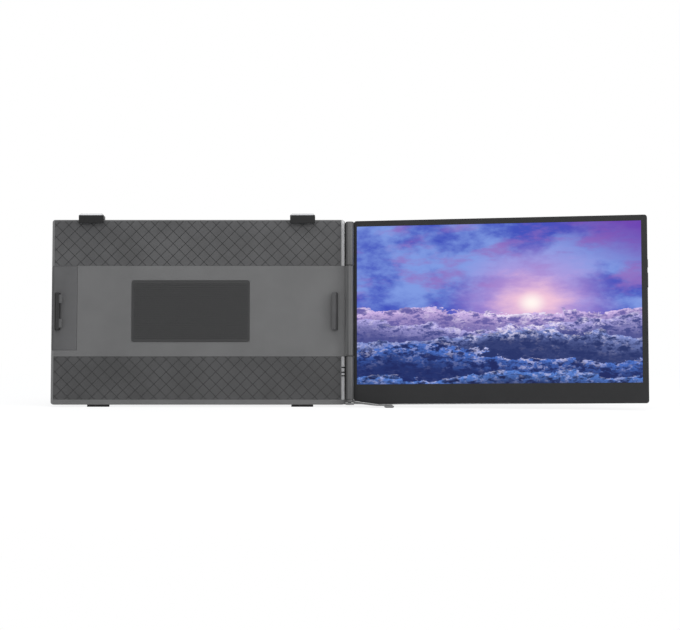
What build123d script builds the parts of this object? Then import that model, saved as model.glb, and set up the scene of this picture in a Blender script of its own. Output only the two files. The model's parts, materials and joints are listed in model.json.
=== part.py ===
from build123d import *
from math import cos, radians, sin, tan
import os

# A side screen on a holder that hooks onto a laptop lid. Millimetres.
# The pieces are drawn upright and flat open: x runs to the right of the main hinge's axis,
# y runs back from it and z runs up it. The screen is then swung towards the viewer, and the
# whole is leant back and set down on its feet.

# Stance
LEAN = 5.29            # degrees the holder leans back
OPEN_ANGLE = 169.66    # degrees between the two front faces, 0 when closed
HINGE_LIFT = 2.96      # height of the hinge's foot above the desk

# Main hinge
BARREL_R = 4.4
BASE_GAP = 0.7         # barrel to the holder's edge
SCREEN_TUCK = 0.5      # the screen's edge reaches this far in front of the barrel's side
KNUCKLE_GAP = 1.0
KNUCKLE_DROP = 1.3     # the upper knuckle ends this far below the screen's top
SHAFT_R = 2.0
SHAFT_FIT = 0.05       # running fit of a shaft
SEAT_FIT = 0.03        # close fit of a part that doesn't turn
SLEEVE_WALL = 1.1
SLEEVE_LENGTH = 28.0
SLEEVE_SPLIT = 1.0
SHAFT_SHORT = 9.5      # a shaft ends this far inside its knuckle's outer end
CAP_T = 1.4
CAP_R = 3.0
LEAF_REACH = 24.9      # flange of a knuckle inside its housing
FLANGE_T = 2.4
SCREEN_FLANGE_T = 1.6
FLANGE_MARGIN = 8.0    # flange ends inside the knuckle's ends
SPINE_FLAT = 0.6       # the middle knuckle is flat on the screen's side, this far inside
COVER_T = 1.2          # strips behind the barrels that close the gaps from behind
COVER_FIT = 0.4
SCREEN_COVER = 1.5     # the screen's strip reaches this far behind the middle knuckle

# Holder
BASE_W = 323.1
BASE_H = 203.8
BASE_T = 9.2
BASE_CORNER = 3.0
FRONT_SKIN = 1.8
EDGE_T = 0.4           # what the front bevels leave of the skin's edge
REAR_WALL = 1.6
REAR_CHAMFER = 2.0
RAIL_H = 5.5           # plain rail along the holder's bottom
BAND_LOW = 52.8        # lower edge of the plain band between the two textured panels
BAND_DROP = 51.0       # the band's upper edge below the holder's top
PANEL_TOP_RIM = 1.5
LEFT_CHAMFER = 2.7
RIGHT_CHAMFER = 4.4
PANEL_T = 1.0
PANEL_FIT = 0.1
PANEL_BORDER = 0.2
PAD_W = 130.0
PAD_LEFT = 88.2        # centre pad's distance from the holder's left edge
PAD_RIM = 16.0         # band above and below the centre pad
PAD_T = 0.8
PAD_POCKET = 0.3
PAD_CORNER = 3.0
STIFFENER_T = 0.8
STIFFENER_MARGIN = 4.0
BOSS_GAP = 0.3

# Sliding arm
ARM_LOW = 7.0          # arm's lower edge above the band's
ARM_TOP = 0.6          # arm's upper edge below the band's
ARM_BLOCK_W = 28.2
ARM_T = 2.4            # thickness of the tongue behind the front skin
ARM_TONGUE = 110.0
ARM_SHOULDER = 10.0    # the tongue is this much narrower at its top and bottom
ARM_STOP_W = 6.0
ARM_TRAVEL = 60.0
ARM_RAIL_H = 2.2
SLIDE_FIT = 0.2

# Side clips
LID_T = 6.0            # room for the lid's thickness
CLIP_H = 41.0
CLIP_UP = 29.0         # clip's lower end above the band's lower edge
CLIP_W = 5.3
CLIP_EDGE = 4.0        # clip's outer side to the holder's outer edge, left
CLIP_INSET = 7.7       # fixed clip's outer side to the holder's right edge
CLIP_PAD_T = 0.8
CLIP_LIP_T = 1.5
CLIP_LIP_REACH = 2.5   # the sliding clip's lips over the lid's rim
CLIP_RIM_REACH = 0.6   # the fixed clip's full-height rim over the lid
CLIP_LIP_H = 9.4
CLIP_LIP_INSET = 2.4
CLIP_SLOPE = 2.6
CLIP_FLANK = 1.0
CLIP_POCKET = 1.0

# Top hooks
HOOK_INSET = (43.8, 46.7)  # hook's middle from the holder's left and right edges
HOOK_W = 27.5
HOOK_HEAD_T = 5.7
HOOK_RISE = 0.5        # head's underside above the holder's top
HOOK_LIP_T = 1.5
HOOK_LIP_H = 5.0
HOOK_STRIP_W = 22.0
HOOK_STRIP_T = 2.0
HOOK_TRAVEL = 45.0
HOOK_STRIP_KEPT = 48.0 # what stays inside of the strip at full lift
HOOK_PAD_T = 0.8
HOOK_RAIL_W = 2.0
HOOK_RAIL_L = 78.0
HOOK_CHAMFER = 2.0

# Screen
SCREEN_W = 319.2
SCREEN_H = 202.3
SCREEN_T = 9.0
SCREEN_CORNER = 3.0
BEZEL_T = 1.2
BEZEL_LIP = 0.5
SHELL_RIM = 0.8        # the rear shell shows below the bezel
BEZEL_CHAMFER = 0.35
BEZEL_LEFT = 3.4
BEZEL_RIGHT = 6.4
BEZEL_TOP = 6.25
CHIN = 22.05
CORNER_CUT = (26.0, 4.0)
PANEL_LAP = 1.2        # bezel over the display's rim
CHIN_LAP = 8.4
DISPLAY_T = 1.5
BACKLIGHT_T = 1.8
BACKLIGHT_INSET = 0.4
SHELL_WALL = 1.4
LAYER_GAP = 0.05
FLANGE_GAP = 0.2
BOARD_GAP = 0.9

# Electronics
BOARD_X = 58.0
BOARD_Z = (24.0, 104.0)
BOARD_T = 1.0
CHIP = (10.0, 1.0, 12.0)
CHIP_SPREAD = 1.2
PORT_DEPTH = 7.5
PORT_T = 3.2
PORT_WALL = 0.35
PORT_DOWN = 0.5        # sockets lie this far behind the middle of the housing
TONGUE = (5.0, 0.7)
TONGUE_SHARE = 0.7
PORT_FIT = 0.15
USB_H = 9.0
USB_Z = (36.0, 54.0)
VIDEO_H = 11.2
VIDEO_Z = 76.0
JACK_R = 3.0
JACK_BORE_R = 1.8
JACK_DEPTH = 12.0
JACK_Z = 6.6
JACK_Y = 8.9
PORT_CORNER = 0.05     # a socket's corners stop this short of a full half round
SPEAKER = (40.0, 5.0, 7.5)
SPEAKER_INSET = (76.1, 78.1)  # speaker's middle from the screen's two sides
SLOT_COUNT = 8
SLOT_PITCH = 4.0
SLOT_W = 1.5
SLOT_L = 2.5
VENT_COUNT = 18
VENT_PITCH = 8.0
VENT_W = 2.0
VENT_L = 14.0
VENT_Z = 172.0
FLEX_W = 35.0
FLEX_T = 0.15
FLEX_LAP = 30.0

# Buttons
POWER_Z = 150.0
POWER_L = 9.0
ROCKER_Z = 132.0
ROCKER_L = 16.0
BUTTON_T = 2.6
BUTTON_PROUD = 0.5
BUTTON_FIT = 0.25
BUTTON_TRAVEL = 0.4
BUTTON_FLANGE = 0.8
BUTTON_FLANGE_T = 0.8
ROCKER_SWING = 2.5
SWITCH_GAP = 0.05
SWITCH_L = 4.0
BUTTON_BOARD_X = 3.1   # face of the button board inside the housing's wall
BUTTON_BOARD_T = 0.8
BUTTON_BOARD_END = 4.0

# Leg
LUG_Z = (2.1, 5.2)
LUG_FLANGE_L = 31.0
LUG_FLANGE_TOP = 12.0
LEG_ANGLE = -8.0       # degrees from +x, seen from above
LEG_LENGTH = 43.4
LEG_W = 7.6
LEG_T = 1.0
LEG_PLAY = 0.15
LEG_BEND = (14.0, 30.0)  # the arm slopes down between these distances
LEG_PIN_R = 1.5
LEG_PIN_HEAD_R = 2.8
LEG_PIN_HEAD_T = 0.7
LEG_PIN_IN_LUG = 2.6
FOOT_W = 10.6
FOOT_FRONT = 6.5
FOOT_HEAD_REAR = 6.0
FOOT_CORNER = 2.0
FOOT_REAR = 33.0
FOOT_T = 1.2
FOOT_PAD_T = 0.5
FOOT_PAD_L = 8.0
FOOT_PAD_INSET = 1.2
BASE_FOOT_INSET_X = (40.2, 34.9)  # foot's near end from the holder's left and right edges
BASE_FOOT = (24.0, 5.2)
BASE_FOOT_INSET = 1.0

# Fasteners
SCREW_R = 1.0
SCREW_HEAD_R = 1.9
SCREW_HEAD_T = 1.0
SCREW_BITE = 4.5
BOSS_R = 2.5
SCREW_EDGE_L = 10.2    # holder's outer screws from its left edge
SCREW_EDGE_R = 14.9    # upper right screw from the right edge
SCREW_FLANGE_R = 42.9  # lower right screw from the right edge, clear of the leg's flange
SCREW_MID = 158.2      # middle screws from the left edge
SCREW_LOW = 12.0       # lower screws above the bottom edge
SCREW_TOP = 11.0       # upper screws below the top edge
CHIN_SCREW_INSET = (30.1, 116.1, 118.1, 23.1)  # first two from the left side, others from the right
CHIN_SCREW_Z = 7.0

# Bumper
BUMPER_RIBS = (31.6, 35.4, 40.8)  # heights of the ribs' middles
BUMPER_T = 0.4
BUMPER_RIB_H = 1.3
BUMPER_SHARE = 0.08    # bare share of the bevel at each end of a rib

# Places worked out from the sizes above
FACE = BARREL_R  # both front faces lie one barrel radius behind the axis
BASE_R = -(BARREL_R + BASE_GAP)
BASE_L = BASE_R - BASE_W
BASE_BACK = FACE + BASE_T
SKIN_BACK = FACE + FRONT_SKIN
SHELL_IN = BASE_BACK - REAR_WALL
TONGUE_Y = (SKIN_BACK + SLIDE_FIT, SKIN_BACK + SLIDE_FIT + ARM_T)
SPINE_Y = (SKIN_BACK, SKIN_BACK + FLANGE_T)
STRIP_Y = (TONGUE_Y[1] + SLIDE_FIT, TONGUE_Y[1] + SLIDE_FIT + HOOK_STRIP_T)
BAND_Z = (BAND_LOW, BASE_H - BAND_DROP)
ARM_X = (BASE_L, BASE_L + ARM_BLOCK_W)
ARM_Z = (BAND_Z[0] + ARM_LOW, BAND_Z[1] - ARM_TOP)
PAD_X = (BASE_L + PAD_LEFT, BASE_L + PAD_LEFT + PAD_W)
PAD_Z = (BAND_Z[0] + PAD_RIM, BAND_Z[1] - PAD_RIM)
CLIP_Z = (BAND_Z[0] + CLIP_UP, BAND_Z[0] + CLIP_UP + CLIP_H)
RIGHT_CLIP_X = BASE_R - CLIP_INSET
HOOK_X = (BASE_L + HOOK_INSET[0], BASE_R - HOOK_INSET[1])
BASE_FOOT_X = (BASE_L + BASE_FOOT_INSET_X[0], BASE_R - BASE_FOOT_INSET_X[1] - BASE_FOOT[0])
BASE_SCREWS = [(BASE_L + SCREW_EDGE_L, SCREW_LOW), (BASE_L + SCREW_EDGE_L, BASE_H - SCREW_TOP),
               (BASE_L + SCREW_MID, SCREW_LOW), (BASE_L + SCREW_MID, BASE_H - SCREW_TOP),
               (BASE_R - SCREW_FLANGE_R, SCREW_LOW), (BASE_R - SCREW_EDGE_R, BASE_H - SCREW_TOP)]
LID_FRONT = FACE - LID_T
LEFT_CLIP_X = BASE_L + CLIP_EDGE
SCREEN_L = BARREL_R - SCREEN_TUCK
SCREEN_R = SCREEN_L + SCREEN_W
SCREEN_BACK = FACE + SCREEN_T
BEZEL_BACK = FACE + BEZEL_T
DISPLAY_Y = (FACE + BEZEL_LIP + LAYER_GAP, FACE + BEZEL_LIP + LAYER_GAP + DISPLAY_T)
BACKLIGHT_Y = (DISPLAY_Y[1] + LAYER_GAP, DISPLAY_Y[1] + LAYER_GAP + BACKLIGHT_T)
FLANGE_Y = (BACKLIGHT_Y[1] + FLANGE_GAP, BACKLIGHT_Y[1] + FLANGE_GAP + SCREEN_FLANGE_T)
WINDOW_X = (SCREEN_L + BEZEL_LEFT, SCREEN_R - BEZEL_RIGHT)
WINDOW_Z = (CHIN, SCREEN_H - BEZEL_TOP)
DISPLAY_X = (WINDOW_X[0] - PANEL_LAP, WINDOW_X[1] + PANEL_LAP)
DISPLAY_Z = (WINDOW_Z[0] - CHIN_LAP, WINDOW_Z[1] + PANEL_LAP)
BOARD_Y = (BACKLIGHT_Y[1] + BOARD_GAP, BACKLIGHT_Y[1] + BOARD_GAP + BOARD_T)
INNER_R = SCREEN_R - SHELL_WALL
SPEAKER_X = (SCREEN_L + SPEAKER_INSET[0], SCREEN_R - SPEAKER_INSET[1])
CHIN_SCREW_X = (SCREEN_L + CHIN_SCREW_INSET[0], SCREEN_L + CHIN_SCREW_INSET[1],
                SCREEN_R - CHIN_SCREW_INSET[2], SCREEN_R - CHIN_SCREW_INSET[3])
SHELL_BACK_IN = SCREEN_BACK - SHELL_WALL
HUB_TOP = HINGE_LIFT + LUG_Z[0] * cos(radians(LEAN)) - BARREL_R * sin(radians(LEAN)) - LEG_PLAY
HUB_Z = (HUB_TOP - LEG_T, HUB_TOP)
FOOT_Z = (FOOT_PAD_T, FOOT_PAD_T + FOOT_T)
ANKLE_Z = (FOOT_Z[1] + LEG_PLAY, FOOT_Z[1] + LEG_PLAY + LEG_T)
ANKLE = (LEG_LENGTH * cos(radians(LEG_ANGLE)), LEG_LENGTH * sin(radians(LEG_ANGLE)))
TOP_KNUCKLE_Z = (BAND_Z[1] + KNUCKLE_GAP / 2, SCREEN_H - KNUCKLE_DROP)
PANEL_X = (BASE_L + LEFT_CHAMFER + PANEL_BORDER, BASE_R - RIGHT_CHAMFER - PANEL_BORDER)
UPPER_PANEL_Z = (BAND_Z[1], BASE_H - PANEL_TOP_RIM)
LOWER_PANEL_Z = (RAIL_H, BAND_Z[0])
HOOK_UNDER = BASE_H + HOOK_RISE
PORT_MID = (BEZEL_BACK + SCREEN_BACK) / 2 + PORT_DOWN
BUTTON_MID = (BEZEL_BACK + SCREEN_BACK) / 2
MID_KNUCKLE_Z = (BAND_Z[0] + KNUCKLE_GAP / 2, BAND_Z[1] - KNUCKLE_GAP / 2)
LOW_KNUCKLE_Z = (LUG_Z[1] + KNUCKLE_GAP / 2, BAND_Z[0] - KNUCKLE_GAP / 2)


# Basic forms

def block(x, y, z):
    """A box between the two values of each pair."""
    size = Box(x[1] - x[0], y[1] - y[0], z[1] - z[0], align=(Align.MIN, Align.MIN, Align.MIN))
    return Pos(x[0], y[0], z[0]) * size


def rounded(x, y, z, radius):
    """A slab whose four corners are rounded as seen from the front."""
    slab = block(x, y, z)
    return fillet(slab.edges().filter_by(Axis.Y), radius)


def rod_z(x, y, z, radius):
    """An upright rod."""
    rod = Cylinder(radius, z[1] - z[0], align=(Align.CENTER, Align.CENTER, Align.MIN))
    return Pos(x, y, z[0]) * rod


def rod_y(x, y, z, radius):
    """A rod that runs from front to back."""
    rod = Cylinder(radius, y[1] - y[0], align=(Align.CENTER, Align.CENTER, Align.MIN))
    return Pos(x, y[0], z) * Rot(-90, 0, 0) * rod


def rod_x(x, y, z, radius):
    """A rod that runs from left to right."""
    rod = Cylinder(radius, x[1] - x[0], align=(Align.CENTER, Align.CENTER, Align.MIN))
    return Pos(x[0], y, z) * Rot(0, 90, 0) * rod


def prism_z(points, z):
    """An upright prism on a polygon of (x, y) points."""
    face = make_face(Polyline(*[(px, py, z[0]) for px, py in points], close=True))
    return extrude(face, amount=z[1] - z[0], dir=(0, 0, 1))


def prism_y(points, y):
    """A prism from front to back on a polygon of (x, z) points."""
    face = make_face(Polyline(*[(px, y[0], pz) for px, pz in points], close=True))
    return extrude(face, amount=y[1] - y[0], dir=(0, 1, 0))


def slot_z(start, end, width, z):
    """A flat bar with round ends between two (x, y) points."""
    ends = rod_z(*start, z, width / 2) + rod_z(*end, z, width / 2)
    run = Vector(end[0] - start[0], end[1] - start[1], 0)
    across = Vector(-run.Y, run.X, 0).normalized() * (width / 2)
    corners = [(start[0] + across.X, start[1] + across.Y), (end[0] + across.X, end[1] + across.Y),
               (end[0] - across.X, end[1] - across.Y), (start[0] - across.X, start[1] - across.Y)]
    return ends + prism_z(corners, z)


def grown(pair, by):
    """A pair of values moved apart by the same amount each way."""
    return (pair[0] - by, pair[1] + by)


# Placing

def lean(shape):
    """Lean a piece of the holder back and set it above the desk."""
    return Pos(0, 0, HINGE_LIFT) * Rot(-LEAN, 0, 0) * shape


def swing(shape):
    """Swing a piece of the screen about the main hinge, then lean it."""
    return lean(Rot(0, 0, OPEN_ANGLE - 180) * shape)


# Holder

def back_screws(places, back, wall, bite):
    """Countersunk screws with their heads flush with a back face."""
    screws = []
    for x, z in places:
        shank = rod_y(x, (back - wall - bite, back - SCREW_HEAD_T), z, SCREW_R)
        head = rod_y(x, (back - SCREW_HEAD_T, back), z, SCREW_HEAD_R)
        screws.append(shank + head)
    return Compound(children=screws)


def drill_back(shell, places, back, wall):
    """Clearance holes and head pockets for screws in a back wall."""
    for x, z in places:
        shell -= rod_y(x, (back - wall - 1, back + 1), z, SCREW_R + SEAT_FIT)
        shell -= rod_y(x, (back - SCREW_HEAD_T, back + 1), z, SCREW_HEAD_R + SEAT_FIT)
    return shell


def add_bosses(cover, places, front, back, bite):
    """Round posts behind a cover, each with a pilot hole for a screw."""
    for x, z in places:
        cover += rod_y(x, (front, back), z, BOSS_R)
    for x, z in places:
        cover -= rod_y(x, (back - bite, back + 1), z, SCREW_R + SEAT_FIT)
    return cover


def bevel_wedge(edge, side, width, z):
    """What a front bevel takes off the holder's left (-1) or right (1) edge."""
    depth = FRONT_SKIN - EDGE_T
    start = edge - side * width
    out = edge + side
    drop = depth * (width + 1) / width
    return prism_z([(start, FACE), (start, FACE - 1), (out, FACE - 1), (out, FACE + drop)], z)


def base_rear_shell():
    """Back tray of the holder, open for the arm, the hooks, the hinge and the leg."""
    x = (BASE_L, BASE_R)
    z = (0, BASE_H)
    shell = rounded(x, (SKIN_BACK, BASE_BACK), z, BASE_CORNER)
    shell = chamfer(shell.faces().sort_by(Axis.Y)[-1].edges(), REAR_CHAMFER)
    shell -= rounded(grown(x, -REAR_WALL), (SKIN_BACK - 1, SHELL_IN), grown(z, -REAR_WALL),
                     BASE_CORNER - REAR_WALL)
    shell -= block((BASE_L - 1, BASE_L + BASE_CORNER), (SKIN_BACK - 1, TONGUE_Y[1] + SLIDE_FIT),
                   grown(ARM_Z, SLIDE_FIT))
    for cx in HOOK_X:
        strip_x = grown((cx - HOOK_STRIP_W / 2, cx + HOOK_STRIP_W / 2), SLIDE_FIT)
        shell -= block(strip_x, grown(STRIP_Y, SLIDE_FIT), (BASE_H - BASE_CORNER, BASE_H + 1))
    for cover_z in ((LUG_Z[1] + SEAT_FIT, MID_KNUCKLE_Z[0] - SEAT_FIT),
                    (MID_KNUCKLE_Z[1] + SEAT_FIT, BASE_H - BASE_CORNER)):
        shell += block((BASE_R, -COVER_FIT), (SKIN_BACK, SKIN_BACK + COVER_T), cover_z)
    wall = (BASE_R - BASE_CORNER, BASE_R + SEAT_FIT)
    flange_y = (SKIN_BACK - 1, SPINE_Y[1] + SEAT_FIT)
    shell -= block(wall, flange_y, grown(MID_KNUCKLE_Z, SEAT_FIT - FLANGE_MARGIN))
    shell -= block(wall, flange_y, (REAR_WALL - SEAT_FIT, LUG_FLANGE_TOP + SEAT_FIT))
    return drill_back(shell, BASE_SCREWS, BASE_BACK, REAR_WALL)


def base_front_frame():
    """Front plate: rail, band, bevelled edges, recesses for the textured panels."""
    x = (BASE_L, BASE_R)
    frame = rounded(x, (FACE, SKIN_BACK), (0, BASE_H), BASE_CORNER)
    frame -= bevel_wedge(BASE_L, -1, LEFT_CHAMFER, (-1, BASE_H + 1))
    frame -= bevel_wedge(BASE_R, 1, RIGHT_CHAMFER, LOWER_PANEL_Z)
    frame -= bevel_wedge(BASE_R, 1, RIGHT_CHAMFER, (BAND_Z[1], BASE_H + 1))
    for z in (UPPER_PANEL_Z, LOWER_PANEL_Z):
        frame -= block(PANEL_X, (FACE - 1, FACE + PANEL_T), z)
    frame -= block((BASE_L - 1, ARM_X[1] + SLIDE_FIT), (FACE - 1, SKIN_BACK + 1),
                   grown(ARM_Z, SLIDE_FIT))
    frame -= block(PAD_X, (FACE - 1, FACE + PAD_POCKET), PAD_Z)
    frame -= clip_pocket(RIGHT_CLIP_X, -1)
    return add_bosses(frame, BASE_SCREWS, SKIN_BACK, SHELL_IN, SCREW_BITE)


def texture_panel(z):
    """Inlaid plate that carries the lattice."""
    return block(grown(PANEL_X, -PANEL_FIT), (FACE, FACE + PANEL_T), grown(z, -PANEL_FIT))


def centre_pad():
    """Anti-slip pad in the middle of the band."""
    y = (FACE + PAD_POCKET - PAD_T, FACE + PAD_POCKET)
    return rounded(grown(PAD_X, -PANEL_FIT), y, grown(PAD_Z, -PANEL_FIT), PAD_CORNER)


def clip_pocket(outer, side):
    """Shallow pocket that a side clip stands in."""
    near = outer - side * SEAT_FIT
    far = outer + side * (CLIP_W + SEAT_FIT)
    return block(sorted((near, far)), (FACE - 1, FACE + CLIP_POCKET), grown(CLIP_Z, SEAT_FIT))


def side_clip(outer, side):
    """Bar with a sloped outer flank; side is 1 for the sliding clip, which has two lips, and
    -1 for the fixed one on the lid's other side, which has one rim over its whole height."""
    inner = outer + side * CLIP_W
    front = LID_FRONT - CLIP_LIP_T
    outline = [(outer, FACE + CLIP_POCKET), (outer, FACE - CLIP_FLANK),
               (outer + side * CLIP_SLOPE, front), (inner, front), (inner, FACE + CLIP_POCKET)]
    clip = prism_z(outline, CLIP_Z)
    tip = inner + side * (CLIP_PAD_T + CLIP_LIP_REACH)
    low = CLIP_Z[0] + CLIP_LIP_INSET
    high = CLIP_Z[1] - CLIP_LIP_INSET
    lips = ((low, low + CLIP_LIP_H), (high - CLIP_LIP_H, high))
    if side < 0:
        lips = (CLIP_Z,)
        tip = inner - CLIP_PAD_T - CLIP_RIM_REACH
    for z in lips:
        clip += block(sorted((inner, tip)), (front, LID_FRONT), z)
    return clip


def clip_pad(outer, side):
    """Soft lining on a clip's inner face."""
    inner = outer + side * CLIP_W
    far = inner + side * CLIP_PAD_T
    return block(sorted((inner, far)), (LID_FRONT, FACE), grown(CLIP_Z, -PAD_T))


def arm_rail_z(end):
    """Height range of the rail below (0) or above (1) the arm's tongue."""
    tongue = grown(ARM_Z, -ARM_SHOULDER)
    if end == 0:
        return (tongue[0] - SLIDE_FIT - ARM_RAIL_H, tongue[0] - SLIDE_FIT)
    return (tongue[1] + SLIDE_FIT, tongue[1] + SLIDE_FIT + ARM_RAIL_H)


def arm_guides():
    """Two rails on the back of the front plate; their ends stop the arm."""
    stop = ARM_X[1] + ARM_TONGUE - ARM_STOP_W
    x = (ARM_X[1] + SLIDE_FIT, stop - ARM_TRAVEL - SLIDE_FIT)
    rails = [block(x, (SKIN_BACK, TONGUE_Y[1]), arm_rail_z(end)) for end in (0, 1)]
    return Compound(children=rails)


def left_slide_arm():
    """Arm that carries the left clip: an end block and a tongue with a stop."""
    arm = block(ARM_X, (FACE, TONGUE_Y[1]), ARM_Z)
    arm -= bevel_wedge(BASE_L, -1, LEFT_CHAMFER, grown(ARM_Z, 1))
    arm -= clip_pocket(LEFT_CLIP_X, 1)
    end = ARM_X[1] + ARM_TONGUE
    arm += block((ARM_X[1], end), TONGUE_Y, grown(ARM_Z, -ARM_SHOULDER))
    arm += block((end - ARM_STOP_W, end), TONGUE_Y, (arm_rail_z(0)[0], arm_rail_z(1)[1]))
    return arm


def top_hook(cx):
    """Hook over the lid's top edge, on a strip that slides up out of the holder."""
    half = HOOK_W / 2
    front = LID_FRONT - HOOK_LIP_T
    head = block((cx - half, cx + half), (front, STRIP_Y[1]), (HOOK_UNDER, HOOK_UNDER + HOOK_HEAD_T))
    head = chamfer(head.faces().sort_by(Axis.Z)[-1].edges(), HOOK_CHAMFER)
    lip = block((cx - half, cx + half), (front, LID_FRONT), (HOOK_UNDER - HOOK_LIP_H, HOOK_UNDER))
    strip = block((cx - HOOK_STRIP_W / 2, cx + HOOK_STRIP_W / 2), STRIP_Y,
                  (BASE_H - HOOK_TRAVEL - HOOK_STRIP_KEPT, HOOK_UNDER))
    return head + lip + strip


def hook_pad(cx):
    """Soft lining under a hook's head."""
    half = HOOK_STRIP_W / 2
    return block((cx - half, cx + half), (LID_FRONT, FACE), (HOOK_UNDER - HOOK_PAD_T, HOOK_UNDER))


def hook_guides():
    """Rails on both sides of each hook's strip."""
    top = BASE_H - REAR_WALL
    rails = []
    for cx in HOOK_X:
        for side in (-1, 1):
            near = cx + side * (HOOK_STRIP_W / 2 + SLIDE_FIT)
            far = near + side * HOOK_RAIL_W
            rails.append(block(sorted((near, far)), (STRIP_Y[0], SHELL_IN - STIFFENER_T),
                               (top - HOOK_RAIL_L, top)))
    return Compound(children=rails)


def base_stiffener():
    """Steel plate against the tray's back wall."""
    margin = -REAR_WALL - STIFFENER_MARGIN
    plate = block(grown((BASE_L, BASE_R), margin), (SHELL_IN - STIFFENER_T, SHELL_IN),
                  grown((0, BASE_H), margin))
    for x, z in BASE_SCREWS:
        plate -= rod_y(x, (SHELL_IN - STIFFENER_T - 1, SHELL_IN + 1), z, BOSS_R + BOSS_GAP)
    return plate


def base_feet():
    """Two rubber feet, cut level with the desk."""
    y = (FACE + BASE_FOOT_INSET, FACE + BASE_FOOT_INSET + BASE_FOOT[1])
    feet = []
    for x in BASE_FOOT_X:
        foot = lean(block((x, x + BASE_FOOT[0]), y, (-2 * HINGE_LIFT, 0)))
        feet.append(foot & block((x, x + BASE_FOOT[0]), (-BASE_T, 3 * BASE_T), (0, 2 * HINGE_LIFT)))
    return Compound(children=feet)


def edge_bumper():
    """Soft ribs across the bright bevel beside the lower knuckle."""
    depth = FRONT_SKIN - EDGE_T
    length = (RIGHT_CHAMFER ** 2 + depth ** 2) ** 0.5
    out = (BUMPER_T * depth / length, -BUMPER_T * RIGHT_CHAMFER / length)
    ends = []
    for share in (BUMPER_SHARE, 1 - BUMPER_SHARE):
        ends.append((BASE_R - RIGHT_CHAMFER * (1 - share), FACE + depth * share))
    outline = ends + [(px + out[0], py + out[1]) for px, py in reversed(ends)]
    ribs = []
    for z in BUMPER_RIBS:
        ribs.append(prism_z(outline, (z - BUMPER_RIB_H / 2, z + BUMPER_RIB_H / 2)))
    return Compound(children=ribs)


# Hinge

def base_leaf(z):
    """Barrel and web of a hinge piece that belongs to the holder."""
    web = [(BASE_R, FACE), (-BARREL_R, 0), (0, 0), (0, SPINE_Y[1]), (BASE_R, SPINE_Y[1])]
    return rod_z(0, 0, z, BARREL_R) + prism_z(web, z)


def hinge_spine():
    """Middle knuckle with a flange behind the front plate."""
    spine = base_leaf(MID_KNUCKLE_Z)
    spine += block((BASE_R - LEAF_REACH, BASE_R), SPINE_Y, grown(MID_KNUCKLE_Z, -FLANGE_MARGIN))
    for z in (sleeve_z(0), sleeve_z(1)):
        spine -= rod_z(0, 0, z, SHAFT_R + SHAFT_FIT + SLEEVE_WALL + SEAT_FIT)
    return spine - block((BARREL_R - SPINE_FLAT, BARREL_R + 1), (-BARREL_R, BARREL_R), (0, BASE_H))


def sleeve_z(end):
    """Height range of the bore at the bottom (0) or top (1) of the middle knuckle."""
    if end == 0:
        return (MID_KNUCKLE_Z[0], MID_KNUCKLE_Z[0] + SLEEVE_LENGTH)
    return (MID_KNUCKLE_Z[1] - SLEEVE_LENGTH, MID_KNUCKLE_Z[1])


def friction_sleeve(end):
    """Split spring sleeve that grips a hinge shaft."""
    z = sleeve_z(end)
    sleeve = rod_z(0, 0, z, SHAFT_R + SHAFT_FIT + SLEEVE_WALL)
    sleeve -= rod_z(0, 0, grown(z, 1), SHAFT_R + SHAFT_FIT)
    return sleeve - block((-BARREL_R, 0), grown((0, 0), SLEEVE_SPLIT / 2), grown(z, 1))


def knuckle(z):
    """Outer knuckle with a flange inside the screen's housing."""
    web = [(0, 0), (BARREL_R, 0), (SCREEN_L, FACE), (SCREEN_L, FLANGE_Y[1]), (0, FLANGE_Y[1])]
    piece = rod_z(0, 0, z, BARREL_R) + prism_z(web, z)
    piece += block((SCREEN_L, SCREEN_L + LEAF_REACH), FLANGE_Y, grown(z, -FLANGE_MARGIN))
    return piece - rod_z(0, 0, grown(z, 1), SHAFT_R + SEAT_FIT)


def upper_knuckle():
    """Knuckle at the screen's top, with a pocket for its cap."""
    return knuckle(TOP_KNUCKLE_Z) - cap_room(TOP_KNUCKLE_Z[1] - CAP_T, SEAT_FIT)


def lower_knuckle():
    """Knuckle at the screen's bottom, with a pocket for its cap."""
    return knuckle(LOW_KNUCKLE_Z) - cap_room(LOW_KNUCKLE_Z[0], SEAT_FIT)


def cap_room(low, play):
    """A hinge cap's disc, or with play the pocket for it."""
    return rod_z(0, 0, (low, low + CAP_T), CAP_R + play)


def hinge_caps():
    """Caps at the outer ends of the two knuckles."""
    return Compound(children=[cap_room(TOP_KNUCKLE_Z[1] - CAP_T, 0), cap_room(LOW_KNUCKLE_Z[0], 0)])


def upper_hinge_shaft():
    """Steel shaft from the upper knuckle into the middle one."""
    return rod_z(0, 0, (sleeve_z(1)[0], TOP_KNUCKLE_Z[1] - SHAFT_SHORT), SHAFT_R)


def lower_hinge_shaft():
    """Steel shaft from the lower knuckle into the middle one."""
    return rod_z(0, 0, (LOW_KNUCKLE_Z[0] + SHAFT_SHORT, sleeve_z(0)[1]), SHAFT_R)


# Screen, drawn flat open

def corner_wedge(y, up):
    """What the sloped lower corner beside the hinge takes off, raised by up."""
    slope = CORNER_CUT[1] / CORNER_CUT[0]
    left = SCREEN_L - 2
    right = SCREEN_L + CORNER_CUT[0] + SCREEN_CORNER
    top_left = CORNER_CUT[1] + 2 * slope + up
    top_right = up - SCREEN_CORNER * slope
    return prism_y([(left, top_left), (right, top_right), (right, -BARREL_R), (left, -BARREL_R)], y)


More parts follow.
